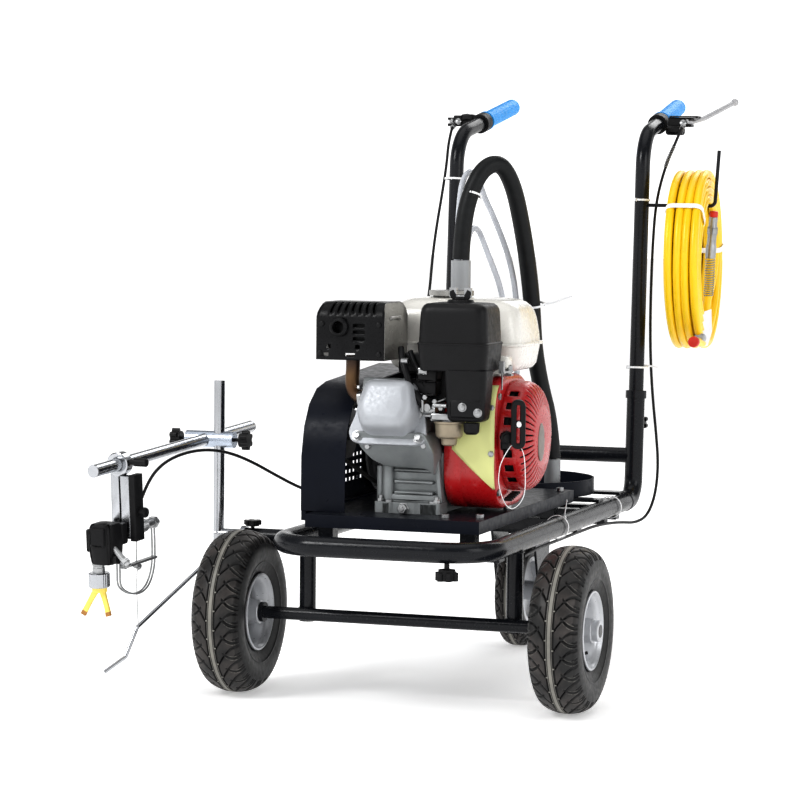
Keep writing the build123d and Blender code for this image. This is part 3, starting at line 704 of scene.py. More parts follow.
TREAD_LENGTH = 800      # about the way once round a front tyre
BAR_DEPTH, RIB_GROOVE_DEPTH, LUG_DEPTH = 3.0, 2.2, 2.2
# the 1.6 mark is a painted highlight: a pale strip along one side of the crossing grooves
GREY_MARK, PAINTED_HIGHLIGHT_MARK = 2.0, 1.6


def tread_depth(u, right, angle, pitches, shoulder, outer):
    """Groove depth and the colour mark at distance u from the middle: a mark of 0 is black
    rubber, 1 is dusty, 2 is the grey of the rib, and 1.6 is a painted highlight beside a groove."""
    if not outer or u > shoulder + 4:
        return 0.0, 0.0
    phase = angle * pitches / (2 * math.pi) + (0.5 if right else 0.0)
    if u < 5.0:
        line = 0.8 * fall(abs(u - 3.4), 0.5)
        return line, GREY_MARK if line < 0.3 else 0.6
    pitch = 1.0 / pitches * TREAD_LENGTH
    depth = RIB_GROOVE_DEPTH * fall(abs(u - 6.0), 1.2)
    notch = abs(phase % 1.0 - 0.5) * pitch
    if u < 7.6 and notch < 1.3:
        return 0.3, GREY_MARK
    t = (u - 8) / (shoulder - 8)
    if 0 <= t <= 1.08:
        bow = 0.95 * math.sin(min(t, 1) * math.pi / 2)
        first = abs((phase + bow) % 1.0 - 0.5) * pitch
        second = abs((phase - bow * 0.9 + 0.05) % 1.0 - 0.5) * pitch
        depth = max(depth, BAR_DEPTH * fall(first, 1.75))
        if t > 0.30:
            depth = max(depth, BAR_DEPTH * fall(second, 1.75))
        # a pale strip just beside the second groove: painted highlight on the groove's edge
        if 0.40 < t < 0.95 and 2.9 < second < 4.2 and depth < 0.5:
            return depth, PAINTED_HIGHLIGHT_MARK
    if t > 0.86:
        lug = abs((phase * 2 + 0.3) % 1.0 - 0.5) * pitch / 2
        depth = max(depth, LUG_DEPTH * fall(lug, 1.5))
    worn = 1.0 - min(1.0, depth / 1.5)
    return depth, worn * (1.0 if t < 0.9 else 0.45)


def mirrored(half, middle):
    return half + [middle] + [(-x, r) for x, r in reversed(half)]


FRONT_TYRE = mirrored([(-27.5, 55), (-30, 60), (-34, 68), (-38, 78), (-39.6, 80.5), (-39.4, 83), (-40.8, 92),
                       (-40.6, 102), (-38.6, 111), (-34.5, 118.5), (-28, 123.6), (-20, 127), (-13, 128.8),
                       (-9, 129.5), (-7, 129.7), (-6, 129.8), (-5, 129.9), (-2.5, 130)], (0, 130))
CASTER_TYRE = mirrored([(-18.5, 60.5), (-21, 65), (-24, 72), (-25, 80), (-23.5, 88), (-19, 94), (-12, 97.6),
                        (-7, 98.6), (-5, 98.8)], (0, 98.95))
WHEEL_X, AXLE_Z = 275, 130
CASTER_AT = (5, 650, 99)
steps_round = 900
for side, name in ((-1, "left"), (1, "right")):
    tyre("tyre_" + name, (side * WHEEL_X, 0, AXLE_Z), FRONT_TYRE, 27, steps_round, "wheel_" + name,
         "wheel_%s_tyre" % name, 37)
tyre("tyre_caster", CASTER_AT, CASTER_TYRE, 26, 400, "caster_wheel", "caster_tyre", 20)

RIM_LIP = [(32.5, 61.6), (34.6, 60.8), (35.2, 58.8), (33.6, 57.2), (30.6, 56.4), (28.6, 53.6), (26, 50.6),
           (20, 49.6), (13, 46.4), (7, 44.4)]


RIM_FACE = [(19.5, 9), (24, 9), (27, 7), (31, 5.4), (39, 5.4), (42, 6.4), (44.6, 9.6)]
HUB = [(-36, 14), (-36, 18), (-35, 19), (-20, 19), (6, 19.6), (12, 21), (22, 19.2), (35, 19), (36, 18),
       (36, 14), (33, 13.6), (33, 10.4), (-33, 10.4), (-33, 13.6)]
HUB_SEAL = [(0, 10.2), (0, 13.5), (1.8, 14.6), (3.4, 14.2), (4, 12.5), (4, 10.2)]
VALVE = [(0, 3.2), (8, 3.2), (9, 2.5), (14, 2.5), (14.6, 0)]
AXLE_CAP = [(0, 16.4), (8.6, 16.4), (10, 14.6), (10.4, 9), (10.5, 0)]


def no_opening(i, j):
    return False


def rim_slot(i, j):
    """Four slots in the flat ring of the disc."""
    return j == 3 and (i % 24) in range(3, 15)


def wheel_rim(side, name):
    """Stamped steel rim: rolled lips, a dropped middle, a slotted disc and a hub."""
    x0 = side * WHEEL_X
    body = "wheel_" + name
    us = circle(96)

    def round_axle(x, r, u):
        return Vector((x0 + x, r * math.cos(u), AXLE_Z + r * math.sin(u)))

    line = RIM_LIP + [(-x, r) for x, r in reversed(RIM_LIP)]
    shape = bmesh.new()
    sheet_grid(shape, us, line, lambda u, at: round_axle(at[0], at[1], u), no_opening, True)
    piece("rim_band_" + name, shape, SILVER_RIM, body, ["wheel_%s_rim" % name], 50, thick=1.8)
    shape = bmesh.new()
    sheet_grid(shape, us, RIM_FACE, lambda u, at: round_axle(side * at[1], at[0], u), rim_slot, True)
    # the disc takes the darker silver, painted shade for its dish
    piece("rim_disc_" + name, shape, SHADED_RIM_DISC, body, thick=2.4)
    shape = bmesh.new()
    lathe(shape, HUB, (x0, 0, AXLE_Z), (1, 0, 0), 64)
    open_ends(shape)
    piece("hub_" + name, shape, SILVER_RIM, body, sharp=25)
    shape = bmesh.new()
    for s in (-1, 1):
        lathe(shape, HUB_SEAL, (x0 + s * 32.6, 0, AXLE_Z), (s, 0, 0), 40)
    open_ends(shape)
    lathe(shape, VALVE, (x0 + side * 22, -34, 96), (side * 0.86, 0.3, 0.3), 16)
    piece("hub_seals_" + name, shape, PLASTIC, body)
    shape = bmesh.new()
    lathe(shape, AXLE_CAP, (side * 311.3, 0, AXLE_Z), (side, 0, 0), 40)
    piece("axle_cap_" + name, shape, SILVER_RIM, "frame", sharp=30)


wheel_rim(-1, "left")
wheel_rim(1, "right")

# ---------------------------------------------------------------- grips

GRIP_RIB, GRIP_RIBS = 0.35, 8      # every eighth line of points is a shallow groove


def grip(name, x, lean):
    start = Vector((x + lean * 12 * 150 / 301, 943, 933.9))
    end = Vector((x + lean * 12 * 308 / 301, 1101.6, 964.4))
    place = along(start, end - start)
    total = (end - start).length
    stations = [(0, 17.6), (1, 18), (4.5, 18), (5.5, 17), (7, 15.9), (12, 15.4)]
    stations += [(14 + 4 * k, 15.4 + 0.25 * math.sin(k * 1.3)) for k in range(34)]
    stations += [(total - 7, 15.5), (total - 3.4, 15.3), (total - 1.2, 13.8), (total - 0.3, 11),
                 (total, 0.05)]
    rings = []
    for h, r in stations:
        rib = GRIP_RIB if 12 < h < total - 9 else 0
        radii = [r - rib * (k % GRIP_RIBS == 0) for k in range(96)]
        rings.append([place @ Vector((math.cos(a) * b, math.sin(a) * b, h)) for a,
                      b in zip(circle(96), radii)])
    shape = bmesh.new()
    loft(shape, rings)
    piece("grip_" + name, shape, BLUE, "handles", ["grips"] if name == "left" else (), 50)


grip("left", -169, 1)
grip("right", 179, -1)

# ---------------------------------------------------------------- engine

HEAD_TILT = math.radians(21)
HEAD_AXIS = Vector((0, -math.cos(HEAD_TILT), math.sin(HEAD_TILT)))
HEAD_UP = Vector((0, math.sin(HEAD_TILT), math.cos(HEAD_TILT)))
HEAD = axes((-10, 95, 415), Vector((1, 0, 0)), HEAD_UP, HEAD_AXIS)


def on_head(points, z):
    """Outline points at height z over the tilted cylinder head's base."""
    return [HEAD @ Vector((p[0], p[1], z)) for p in points]


def rocker():
    """Cover over the valves, with its flange and two bolts."""
    outline = [(-38, -46), (38, -46), (52, -12), (42, 42), (-40, 42), (-52, -12)]
    rings = []
    for z, shrink in ((140.5, 0), (146, 0.5), (163, 3), (172, 5.5), (178, 9), (181.5, 14), (183, 22)):
        part = [(x * (1 - shrink / 52), y * (1 - shrink / 46)) for x, y in outline]
        rings.append(on_head(soft_poly(part, 15 - shrink * 0.4, 6), z))
    shape = bmesh.new()
    loft(shape, rings)
    piece("valve_cover", shape, COVER, "frame", ["rocker_cover"], 40)
    plate = [(-60, -54), (-44, -58), (44, -58), (60, -54), (62, -38), (57, -12), (44, 46), (-36, 49),
             (-54, 24),
             (-58, -12), (-66, -38)]
    shape = bmesh.new()
    loft(shape, [on_head(soft_poly(plate, 6, 3), z) for z in (133, 134, 140, 141)])
    piece("cover_flange", shape, COVER, "frame", edge=0.8)
    shape = bmesh.new()
    for x, y in ((-50, -46), (50, -46)):
        spot = HEAD @ Matrix.Translation((x, y, 141))
        lathe(shape, [(0, 9), (1.4, 9), (1.6, 7)], spot.translation, HEAD_AXIS, 24)
        prism(shape, hexagon(5.8), spot, 1.5, 7)
    piece("cover_bolts", shape, ZINC, "frame", edge=0.4)


rocker()


def cylinder_block():
    """Cast skirt under the head, side ribs, the sump face and the flange it stands on."""
    shape = bmesh.new()
    skirt = [(-66, 430), (52, 430), (62, 398), (56, 360), (46, 372), (-22, 374), (-44, 384), (-60, 404)]
    front = [(x * 0.98, -60 + (430 - z) * 0.62, z) for x, z in [(p.x, p.y) for p in soft_poly(skirt, 6, 2)]]
    back = [(p.x, 6, p.y) for p in soft_poly(skirt, 6, 2)]
    loft(shape, [front, back])
    piece("cylinder_skirt", shape, ALLOY, "frame", edge=1.6)
    shape = bmesh.new()
    for z in (367, 349, 332):
        block(shape, (-14, 50), (-9, 4), (z - 2.5, z + 2.5), 1.6)
    block(shape, (-36, 64), (-8, 6), (317, 330), 4)
    rod(shape, (-25, -3, 316), (-25, -3, 380), 9, 24)
    rod(shape, (-40, 4, 316), (-40, 4, 372), 6, 20)
    prism(shape, soft_poly([(52, 400), (58, 402), (66, 318), (60, 318)], 1.5, 2),
          Matrix(((1, 0, 0, 0), (0, 0, -1, 0), (0, 1, 0, 0), (0, 0, 0, 1))), -4, 10)
    piece("sump_ribs", shape, ALLOY, "frame", edge=0.8)
    shape = bmesh.new()
    foot = [(-42, -22), (-14, -22), (-10, -26), (26, -26), (30, -22), (66, -22), (66, 20), (-42, 20)]
    loft(shape, [[(p.x, p.y, z) for p in soft_poly(foot, 4, 3)] for z in (300.4, 301.4, 316.6, 318)])
    piece("sump_foot", shape, ALLOY, "frame", edge=0.8)
    shape = bmesh.new()
    for k in range(9):
        z = 36 + 6.6 * k
        wide = 48 + (3 if k % 2 else 0)
        loft(shape, [on_head(soft_poly([(-wide, -45), (wide, -45), (wide, 49), (-wide, 49)], 8, 3), z + d)
                     for d in (0, 2.2)])
    piece("cylinder_fins", shape, ALLOY, "frame", edge=0.5)
    shape = bmesh.new()
    lathe(shape, [(0, 10), (2, 10), (2.4, 8), (9, 8), (10, 6.8)], (8, -25.5, 309), (0, -1, 0), 6)
    lathe(shape, [(0, 4), (1.5, 3.4), (1.6, 0)], (8, -35.4, 309), (0, -1, 0), 20)
    for x, y in ((-34, -14), (58, -14)):
        prism(shape, hexagon(6), Matrix.Translation((x, y, 318)), 0, 5)
        rod(shape, (x, y, 322), (x, y, 328), 3.4, 14)
    for x, z in ((-45, 406), (47, 410), (60, 322)):
        lathe(shape, [(0, 5.4), (3, 5.4), (3.6, 4.4), (6, 4.4), (6.4, 0)], (x, -44 if z > 350 else -6, z),
              (0, -1, 0), 6)
    piece("block_bolts", shape, ZINC, "frame", edge=0.3)


cylinder_block()


def muffler():
    """Heat guard bent from slotted sheet over a can, with an outlet, and the header pipe."""
    front = [540, 546, 551, 558, 564, 571, 576, 581.5, 586.5, 591.5, 596.5, 602]
    guard = [(-50, z) for z in front]
    guard += [(-49.5, 607), (-47.5, 613), (-43, 620), (-36, 626), (-26, 629), (10, 629), (40, 629),
              (54, 626),
              (60, 618), (62, 608), (62, 560)]
    xs = [-130, -124] + list(range(-118, -17, 4))
    vents = {(1, 2), (1, 3), (1, 11), (1, 12), (1, 13), (1, 14), (3, 3), (3, 4), (3, 15), (3, 16)}

    def open_at(i, j):
        if j in (13, 14, 15):
            return i % 3 == 1 and 2 < i < 25
        outlet = 7 <= j <= 10 and 6 <= i <= 10
        slot = j in (5, 7, 9) and 14 <= i <= 18
        return outlet or slot or (j, i) in vents

    def squeeze(x, z):
        """The guard narrows over its top corners."""
        return -74 + (x + 74) * (1 - 0.10 * min(1.0, max(0.0, (z - 611) / 18)))

    shape = bmesh.new()
    sheet_grid(shape, xs, guard, lambda x, at: Vector((squeeze(x, at[1]), *at)), open_at)
    piece("muffler_guard", shape, MUFFLER, "frame", ["muffler"], 45, thick=1.6)
    shape = bmesh.new()
    side = guard + [(62, 540)]
    for x0, x1 in ((-131, -128), (-19.5, -17.5)):
        loft(shape, [[(squeeze(x, z), y, z) for y, z in side] for x in (x0, x1)])
    block(shape, (-132, -16), (-20, 30), (602, 608), 2)
    piece("muffler_ends", shape, SIDE_METAL, "frame", edge=1.0)
    shape = bmesh.new()
    block(shape, (-122, -24), (-38, 52), (550, 618), 16, steps=4)
    for z in (568, 600):
        block(shape, (-123, -23), (-39.5, -37), (z - 2, z + 2), 0.8)
    piece("muffler_can", shape, MUFFLER, "frame", sharp=60)
    shape = bmesh.new()
    lathe(shape, [(0, 9.6), (21, 9.6), (21, 12.2), (19, 14.6), (14, 15), (12, 14.4), (0, 13.4)],
          (-92, -38, 591.5), (0, -1, 0), 40)
    open_ends(shape)
    piece("muffler_outlet", shape, MUFFLER, "frame")
    shape = bmesh.new()
    for x, z in ((-121, 596), (-27, 596), (-124, 550), (-27, 550)):
        lathe(shape, [(0, 4.2), (2.6, 4), (3.4, 2.4), (3.6, 0)], (x, -50.5, z), (0, -1, 0), 18)
    piece("muffler_screws", shape, PLASTIC, "frame")
    shape = bmesh.new()
    line = [(-82, -14, 546), (-82, -14, 525), (-83, -14, 508), (-81, -15, 494), (-74, -16, 484),
            (-64, -17, 479)]
    tube(shape, smooth_line(line, 5), 11, 24)
    piece("header_pipe", shape, HEATED, "frame")
    shape = bmesh.new()
    place = along((-66, -17, 478), (1, 0, 0.1))
    prism(shape, soft_poly([(-24, -12), (24, -12), (24, 12), (-24, 12)], 10, 4), place, 0, 7)
    for y in (-17, 17):
        lathe(shape, [(0, 5.5), (6, 5.5), (6.5, 4), (12, 4), (12.4, 0)], place @ Vector((0, y, 0)),
              (-1, 0, -0.1), 6)
    piece("header_flange", shape, ZINC, "frame", edge=0.6)


muffler()


def fuel_tank():
    """Enamelled tank with a seam flange and the neck under its cap."""
    shape = bmesh.new()
    levels = [(520, 190, 120, 22), (523, 202, 134, 26), (530, 212, 145, 28), (545, 217, 151, 30),
              (560, 221, 157, 30),
              (560.2, 229, 165, 32), (561, 230.5, 166.5, 32), (564, 230.5, 166.5, 32), (564.8, 229, 165, 32),
              (565, 221, 157, 30), (580, 219, 155, 32), (602, 214, 150, 36), (614, 208, 144, 38), (622, 199,
                                                                                                   135, 38),
              (628, 186, 122, 36), (632, 168, 104, 32), (634, 140, 78, 24), (634.4, 90, 50, 16)]
    stack(shape, 48, 155, levels, 9)
    piece("tank_shell", shape, CREAM, "frame", ["fuel_tank"], 50)
    shape = bmesh.new()
    lathe(shape, [(0, 32), (2, 32), (3, 30), (5, 29)], (27, 150, 632), (0, 0, 1), 48)
    piece("tank_neck", shape, ZINC, "frame")
    shape = bmesh.new()
    block(shape, (118, 158), (30, 60), (528, 548), 6, steps=3)
    block(shape, (132, 150), (26, 40), (517, 530), 3)
    piece("tank_bracket", shape, CREAM, "frame")


fuel_tank()


def air_filter():
    """Two-part cleaner case with its wing nut, on the screwed intake elbow."""
    shape = bmesh.new()
    levels = [(527, 88, 16), (528.5, 93, 17), (532, 95, 18), (562, 100, 18), (567.6, 100.8, 18),
              (568, 102, 18),
              (570.4, 102, 18), (571, 100, 18), (572, 97.5, 18), (600, 95.5, 18), (616, 94, 18), (623, 91.5,
                                                                                                  17),
              (628, 86, 16), (631, 78, 14), (632, 62, 12)]
    stack(shape, 93, -11, [(z, d + 14, d, corner) for z, d, corner in levels], 7)
    lathe(shape, [(0, 24), (2, 23), (4.4, 20.5), (6.4, 19.6), (6.8, 17)], (93, -11, 630), (0, 0, 1), 40)
    piece("air_filter", shape, PLASTIC, "frame", ["air_cleaner"], 40)
    shape = bmesh.new()
    lathe(shape, [(0, 8.5), (2, 9), (8, 7)], (93, -11, 636.6), (0, 0, 1), 24)
    for side in (-1, 1):
        wing = Matrix.Translation((93 + side * 5, -11, 641)) @ Matrix.Rotation(side * 0.5, 4, "Y")
        loft(shape, [[wing @ Vector((x, y, z)) for x, y in
                      soft_poly([(0, -2.6), (side * w, -2.6), (side * w, 2.6), (0, 2.6)], 1.2, 3)]
                     for z, w in ((-2, 8), (4, 10), (10, 9), (13, 6.5))])
    piece("wing_nut", shape, PLASTIC, "frame", sharp=50)
    shape = bmesh.new()
    stack(shape, 115, -34, [(450, 48, 36, 9), (452, 55, 42, 10), (456, 59, 46, 11), (470, 61, 48, 11),
                            (500, 66, 49, 11), (529, 68, 50, 11)], 5)
    block(shape, (92, 142), (-60, -54), (456, 484), 2.5)
    piece("intake_elbow", shape, PLASTIC, "frame", ["air_elbow"], 40)
    shape = bmesh.new()
    y = -60
    for x, z in ((113, 473), (138, 465)):
        lathe(shape, [(0, 7), (1.2, 7), (1.6, 5.6), (3.8, 4.9), (4.4, 3)], (x, y, z), (0, -1, 0), 28)
        block(shape, (x - 4, x + 4), (y - 5.2, y - 4), (z - 0.7, z + 0.7))
    piece("elbow_screws", shape, ZINC, "frame")


air_filter()


def carb():
    """Carburettor with its bowl and spindles, and the black parts round it."""
    shape = bmesh.new()
    lathe(shape, [(0, 24.5), (3, 24.5), (4, 22.5), (20, 21.5), (24, 20), (26.5, 16.5), (27, 13), (36, 12),
                  (38, 9)],
          (84, -33, 449), (0, 0, -1), 40)
    piece("float_bowl", shape, BRONZE, "frame", ["carburettor"], 30)
    shape = bmesh.new()
    block(shape, (58, 96), (-52, -12), (449, 462), 3)
    block(shape, (34, 60), (-40, -12), (452, 474), 3)
    rod(shape, (30, -36, 466), (64, -36, 466), 9, 24)
    rod(shape, (52, -50, 470), (52, -22, 470), 6, 18)
    rod(shape, (38, -46, 458), (38, -30, 458), 5, 16)
    rod(shape, (64, -54, 474), (86, -54, 474), 3.5, 12)
    block(shape, (44, 48), (-54, -30), (462, 482), 1)
    for x, z in ((66, 480), (76, 470), (50, 486), (28, 476)):
        lathe(shape, [(0, 4.4), (5, 4.4), (6, 3), (6.2, 0)], (x, -50, z), (0, -1, 0), 6)
    piece("carb_body", shape, ZINC, "frame", edge=0.5)
    shape = bmesh.new()
    lathe(shape, [(0, 9), (1, 10), (8, 9.4), (9, 6), (12, 5)], (122, -40, 446), (0, 0, -1), 20)
    lathe(shape, [(0, 13), (14, 12), (18, 8)], (122, -40, 448), (0, 0, -1), 20)
    for line, r, steps in (([(0, -22, 560), (6, -34, 545), (14, -42, 528), (22, -46, 508), (30, -48, 490)],
                            5.2, 14),
                           ([(30, -44, 492), (37, -46, 484), (44, -48, 476)], 7, 16),
                           ([(16, -24, 556), (26, -30, 536), (38, -34, 520), (44, -30, 500)], 4, 12)):
        tube(shape, smooth_line(line, 5), r, steps)
    block(shape, (12, 62), (-34, 2), (486, 512), 5)
    block(shape, (-4, 34), (-24, 10), (520, 552), 4)
    block(shape, (22, 72), (-8, 40), (476, 556), 5)
    block(shape, (30, 64), (-40, -8), (508, 530), 4)
    piece("intake_parts", shape, PLASTIC, "frame", edge=0.8)
    shape = bmesh.new()
    rod(shape, (8, -40, 541), (20, -44, 541), 4.5, 16)
    rod(shape, (24, -44, 500), (8, -52, 494), 3.2, 14)
    block(shape, (34, 50), (-44, -30), (520, 531), 2)
    block(shape, (20, 50), (-38, -30), (470, 476), 1)
    piece("intake_metal", shape, ZINC, "frame", edge=0.5)


carb()

HOUSING_Y, HOUSING_Z = 91, 412
CRANK_Y, CRANK_Z = 95, 420
FAN_AT = (150, CRANK_Y, CRANK_Z)


def housing_outline(shrink=0.0):
    w, h = 194 - 2 * shrink, 210 - 2 * shrink
    return rectangle(HOUSING_Y, HOUSING_Z, w, h, 70 - shrink, 9)


def fan():
    """Red blower housing, the slotted starter dome on it, and the pale label in front."""
    shape = bmesh.new()
    loft(shape, [[(x, p.x, p.y) for p in housing_outline(s)]
                 for x, s in ((66.5, 1.5), (68, 0), (92, 0), (93, 0.8), (95, 0.8), (96, 0), (141, 0),
                              (146, 1.6),
                              (149, 4.5), (150.4, 9))])
    piece("blower_housing", shape, RED, "frame", ["fan_housing"], 50)
    rim = [(150, 86.5), (153, 86.5), (158, 86.2), (172, 85.6), (178, 83.6), (183, 80.5), (188, 75.5),
           (192, 68),
           (195, 58), (196.6, 50), (197.6, 44), (198.6, 34), (199.2, 20), (199.2, 6), (199.2, 0.4)]
    us = circle(168)

    def open_at(i, j):
        """Slots round the dome's shoulder, and vents in its wall to the front."""
        if 5 <= j <= 8:
            return i % 4 == 1
        return j == 2 and i % 8 in (1, 2, 3, 4) and math.cos(us[i]) < -0.5

    shape = bmesh.new()
    sheet_grid(shape, us, rim,
               lambda u, at: Vector((at[0], CRANK_Y + at[1] * math.cos(u), CRANK_Z + at[1] * math.sin(u))),
               open_at, True)
    piece("starter_dome", shape, RED, "frame", ["recoil_cover"], 50, thick=1.8)
    shape = bmesh.new()
    lathe(shape, [(0, 82), (14, 82), (20, 74), (26, 57), (34, 44), (38, 38), (40, 0)], FAN_AT, (1, 0, 0), 60)
    for a in circle(30):
        spoke = Matrix.Translation(FAN_AT) @ Matrix.Rotation(a, 4, "X") @ Matrix.Rotation(0.5, 4, "Z")
        block(shape, (18, 30), (-1, 1), (46, 76), 0, spoke)
    piece("starter_inside", shape, PLASTIC, "frame", sharp=30)
    shape = bmesh.new()
    badge = [Vector((0, 17 * math.cos(a), 30 * math.sin(a))) for a in circle(40)]
    loft(shape, [[Vector((x, 80 + p.y * s, 412 + p.z * s)) for p in badge]
                 for x, s in ((198.4, 1), (200, 1), (200.7, 0.95), (200.8, 0.9))])
    piece("blank_badge", shape, BADGE, "frame", sharp=30)
    shape = bmesh.new()
    front = [p for p in housing_outline(-0.5) if p.x < 40 and 335 < p.y < 505]
    front.sort(key=lambda p: p.y)
    rows = []
    for k in range(25):
        t = k / 24 * (len(front) - 1)
        i = min(int(t), len(front) - 2)
        rows.append(front[i].lerp(front[i + 1], t - i))
    verts = []
    right = 149.0
    for p in rows:
        left = min(80 + max(0.0, 402 - p.y) * 1.10, right)
        verts.append([shape.verts.new((left + (right - left) * k / 8, p.x, p.y)) for k in range(9)])
    for a, b in zip(verts, verts[1:]):
        for k in range(8):
            if (a[k].co - a[k + 1].co).length > 0.05:
                shape.faces.new((a[k], a[k + 1], b[k + 1], b[k]))
    piece("blank_label", shape, LABEL, "frame", sharp=60, thick=0.4)
    shape = bmesh.new()
    for y, z in ((14, 486), (168, 486), (14, 336), (168, 336)):
        lathe(shape, [(0, 6), (3, 6), (4, 4.5), (4.2, 0)], (149.4, y, z), (1, 0, 0), 6)
    for z in (398, 470):
        lathe(shape, [(0, 5), (3, 5), (3.6, 3.6), (3.8, 0)], (144, -6, z), (0, -1, 0), 6)
    piece("housing_bolts", shape, ZINC, "frame", edge=0.3)
    shape = bmesh.new()
    place = along((166, 2, 424), (0.4, -1, 0))
    lathe(shape, [(-6, 10), (8, 10), (9.5, 9), (10, 6.5), (14, 6), (15, 0)], place.translation,
          (0.4, -1, 0), 28)
    block(shape, (158, 172), (-6, 8), (404, 420), 3)
    piece("stop_switch", shape, PLASTIC, "frame", sharp=30)
    shape = bmesh.new()
    for k in range(6):
        block(shape, (154, 168), (28 + k * 9, 32 + k * 9), (322 + k * 1.5, 326 + k * 1.5), 0.5)
    piece("housing_louvres", shape, PLASTIC, "frame")


fan()


def starter_grip():
    """Pull handle: a black loop with a bar across it and the white knot of its cord."""
    centre = Vector((188, -9, 446))
    across = Vector((0.95, 0.32, 0))
    shape = bmesh.new()
    outline = soft_poly([(9, 34), (-9, 34), (-9, -34), (9, -34)], 8, 5)
    line = [centre + across * p.x * 0.78 + UP * p.y for p in outline]
    line.append(line[0])
    rings = []
    for a, b, c in zip(line[-2:-1] + line[:-1], line[:-1], line[1:]):
        d = (c - a).normalized()
        out = d.cross(Vector((-0.32, 0.95, 0))).normalized()
        deep = Vector((-0.32, 0.95, 0))
        rings.append([b + out * x + deep * y for x, y in
                      ((p.x, p.y) for p in rectangle(0, 0, 8.6, 15, 2.6, 2))])
    loft(shape, rings, closed=True)
    rod(shape, centre - across * 8, centre + across * 8, 6.2, 20)
    piece("pull_grip", shape, PLASTIC, "recoil_grip", ["recoil_grip"], 40)
    shape = bmesh.new()
    lathe(shape, [(0, 0), (1, 3.4), (3.4, 5), (6, 5), (8, 3.4), (9, 0)], centre + Vector((1, -8, 0)),
          (0.3, 1, 0), 20)
    rod(shape, centre, centre + Vector((0, 21, 0)), 2.1, 12)
    piece("pull_knot", shape, NYLON, "recoil_grip")
    shape = bmesh.new()
    loop = [(178, -12, 413), (170, -15, 400), (163, -17, 384), (161, -18, 372), (160, -18, 359),
            (162, -17, 345),
            (166, -16, 332), (171, -14, 321), (178, -12, 315), (184, -10, 316), (190, -8, 321), (196, -6,
                                                                                                 331),
            (199, -5, 345), (199, -5, 372), (197, -6, 397), (192, -8, 410), (184, -10, 414), (178, -12, 413)]
    tube(shape, smooth_line(loop, 4), 0.75, 8)
    piece("white_loop", shape, NYLON, "frame")


starter_grip()
shape = bmesh.new()
tube(shape, smooth_line([(140, 20, 524), (126, 0, 512), (104, -20, 498), (84, -40, 486), (66, -50, 478)],
                        4), 1.6, 8)
tube(shape, smooth_line([(150, 8, 536), (158, 0, 520), (160, -6, 498)], 4), 1.4, 8)
piece("governor_links", shape, ZINC, "frame")

# ---------------------------------------------------------------- spray gun side

ARM_A, ARM_B = Vector((-435, -218, 366)), Vector((-364, 269, 404))
ARM = (ARM_B - ARM_A).normalized()
GUN_H = ARM_A + (ARM_B - ARM_A) * ((-141 - ARM_A.y) / (ARM_B.y - ARM_A.y))
LATERAL = Vector((ARM.y, -ARM.x, 0)).normalized()
GUN_UP = LATERAL.cross(ARM)
GUN = axes(GUN_H, LATERAL, ARM, GUN_UP)
TIP_X = -18


def g(x, y, z):
    """A place on the gun: x across the arm, y along it, z up from it."""
    return GUN @ Vector((x, y, z))


def gdir(x, y, z):
    """A direction on the gun."""
    return GUN.to_3x3() @ Vector((x, y, z))


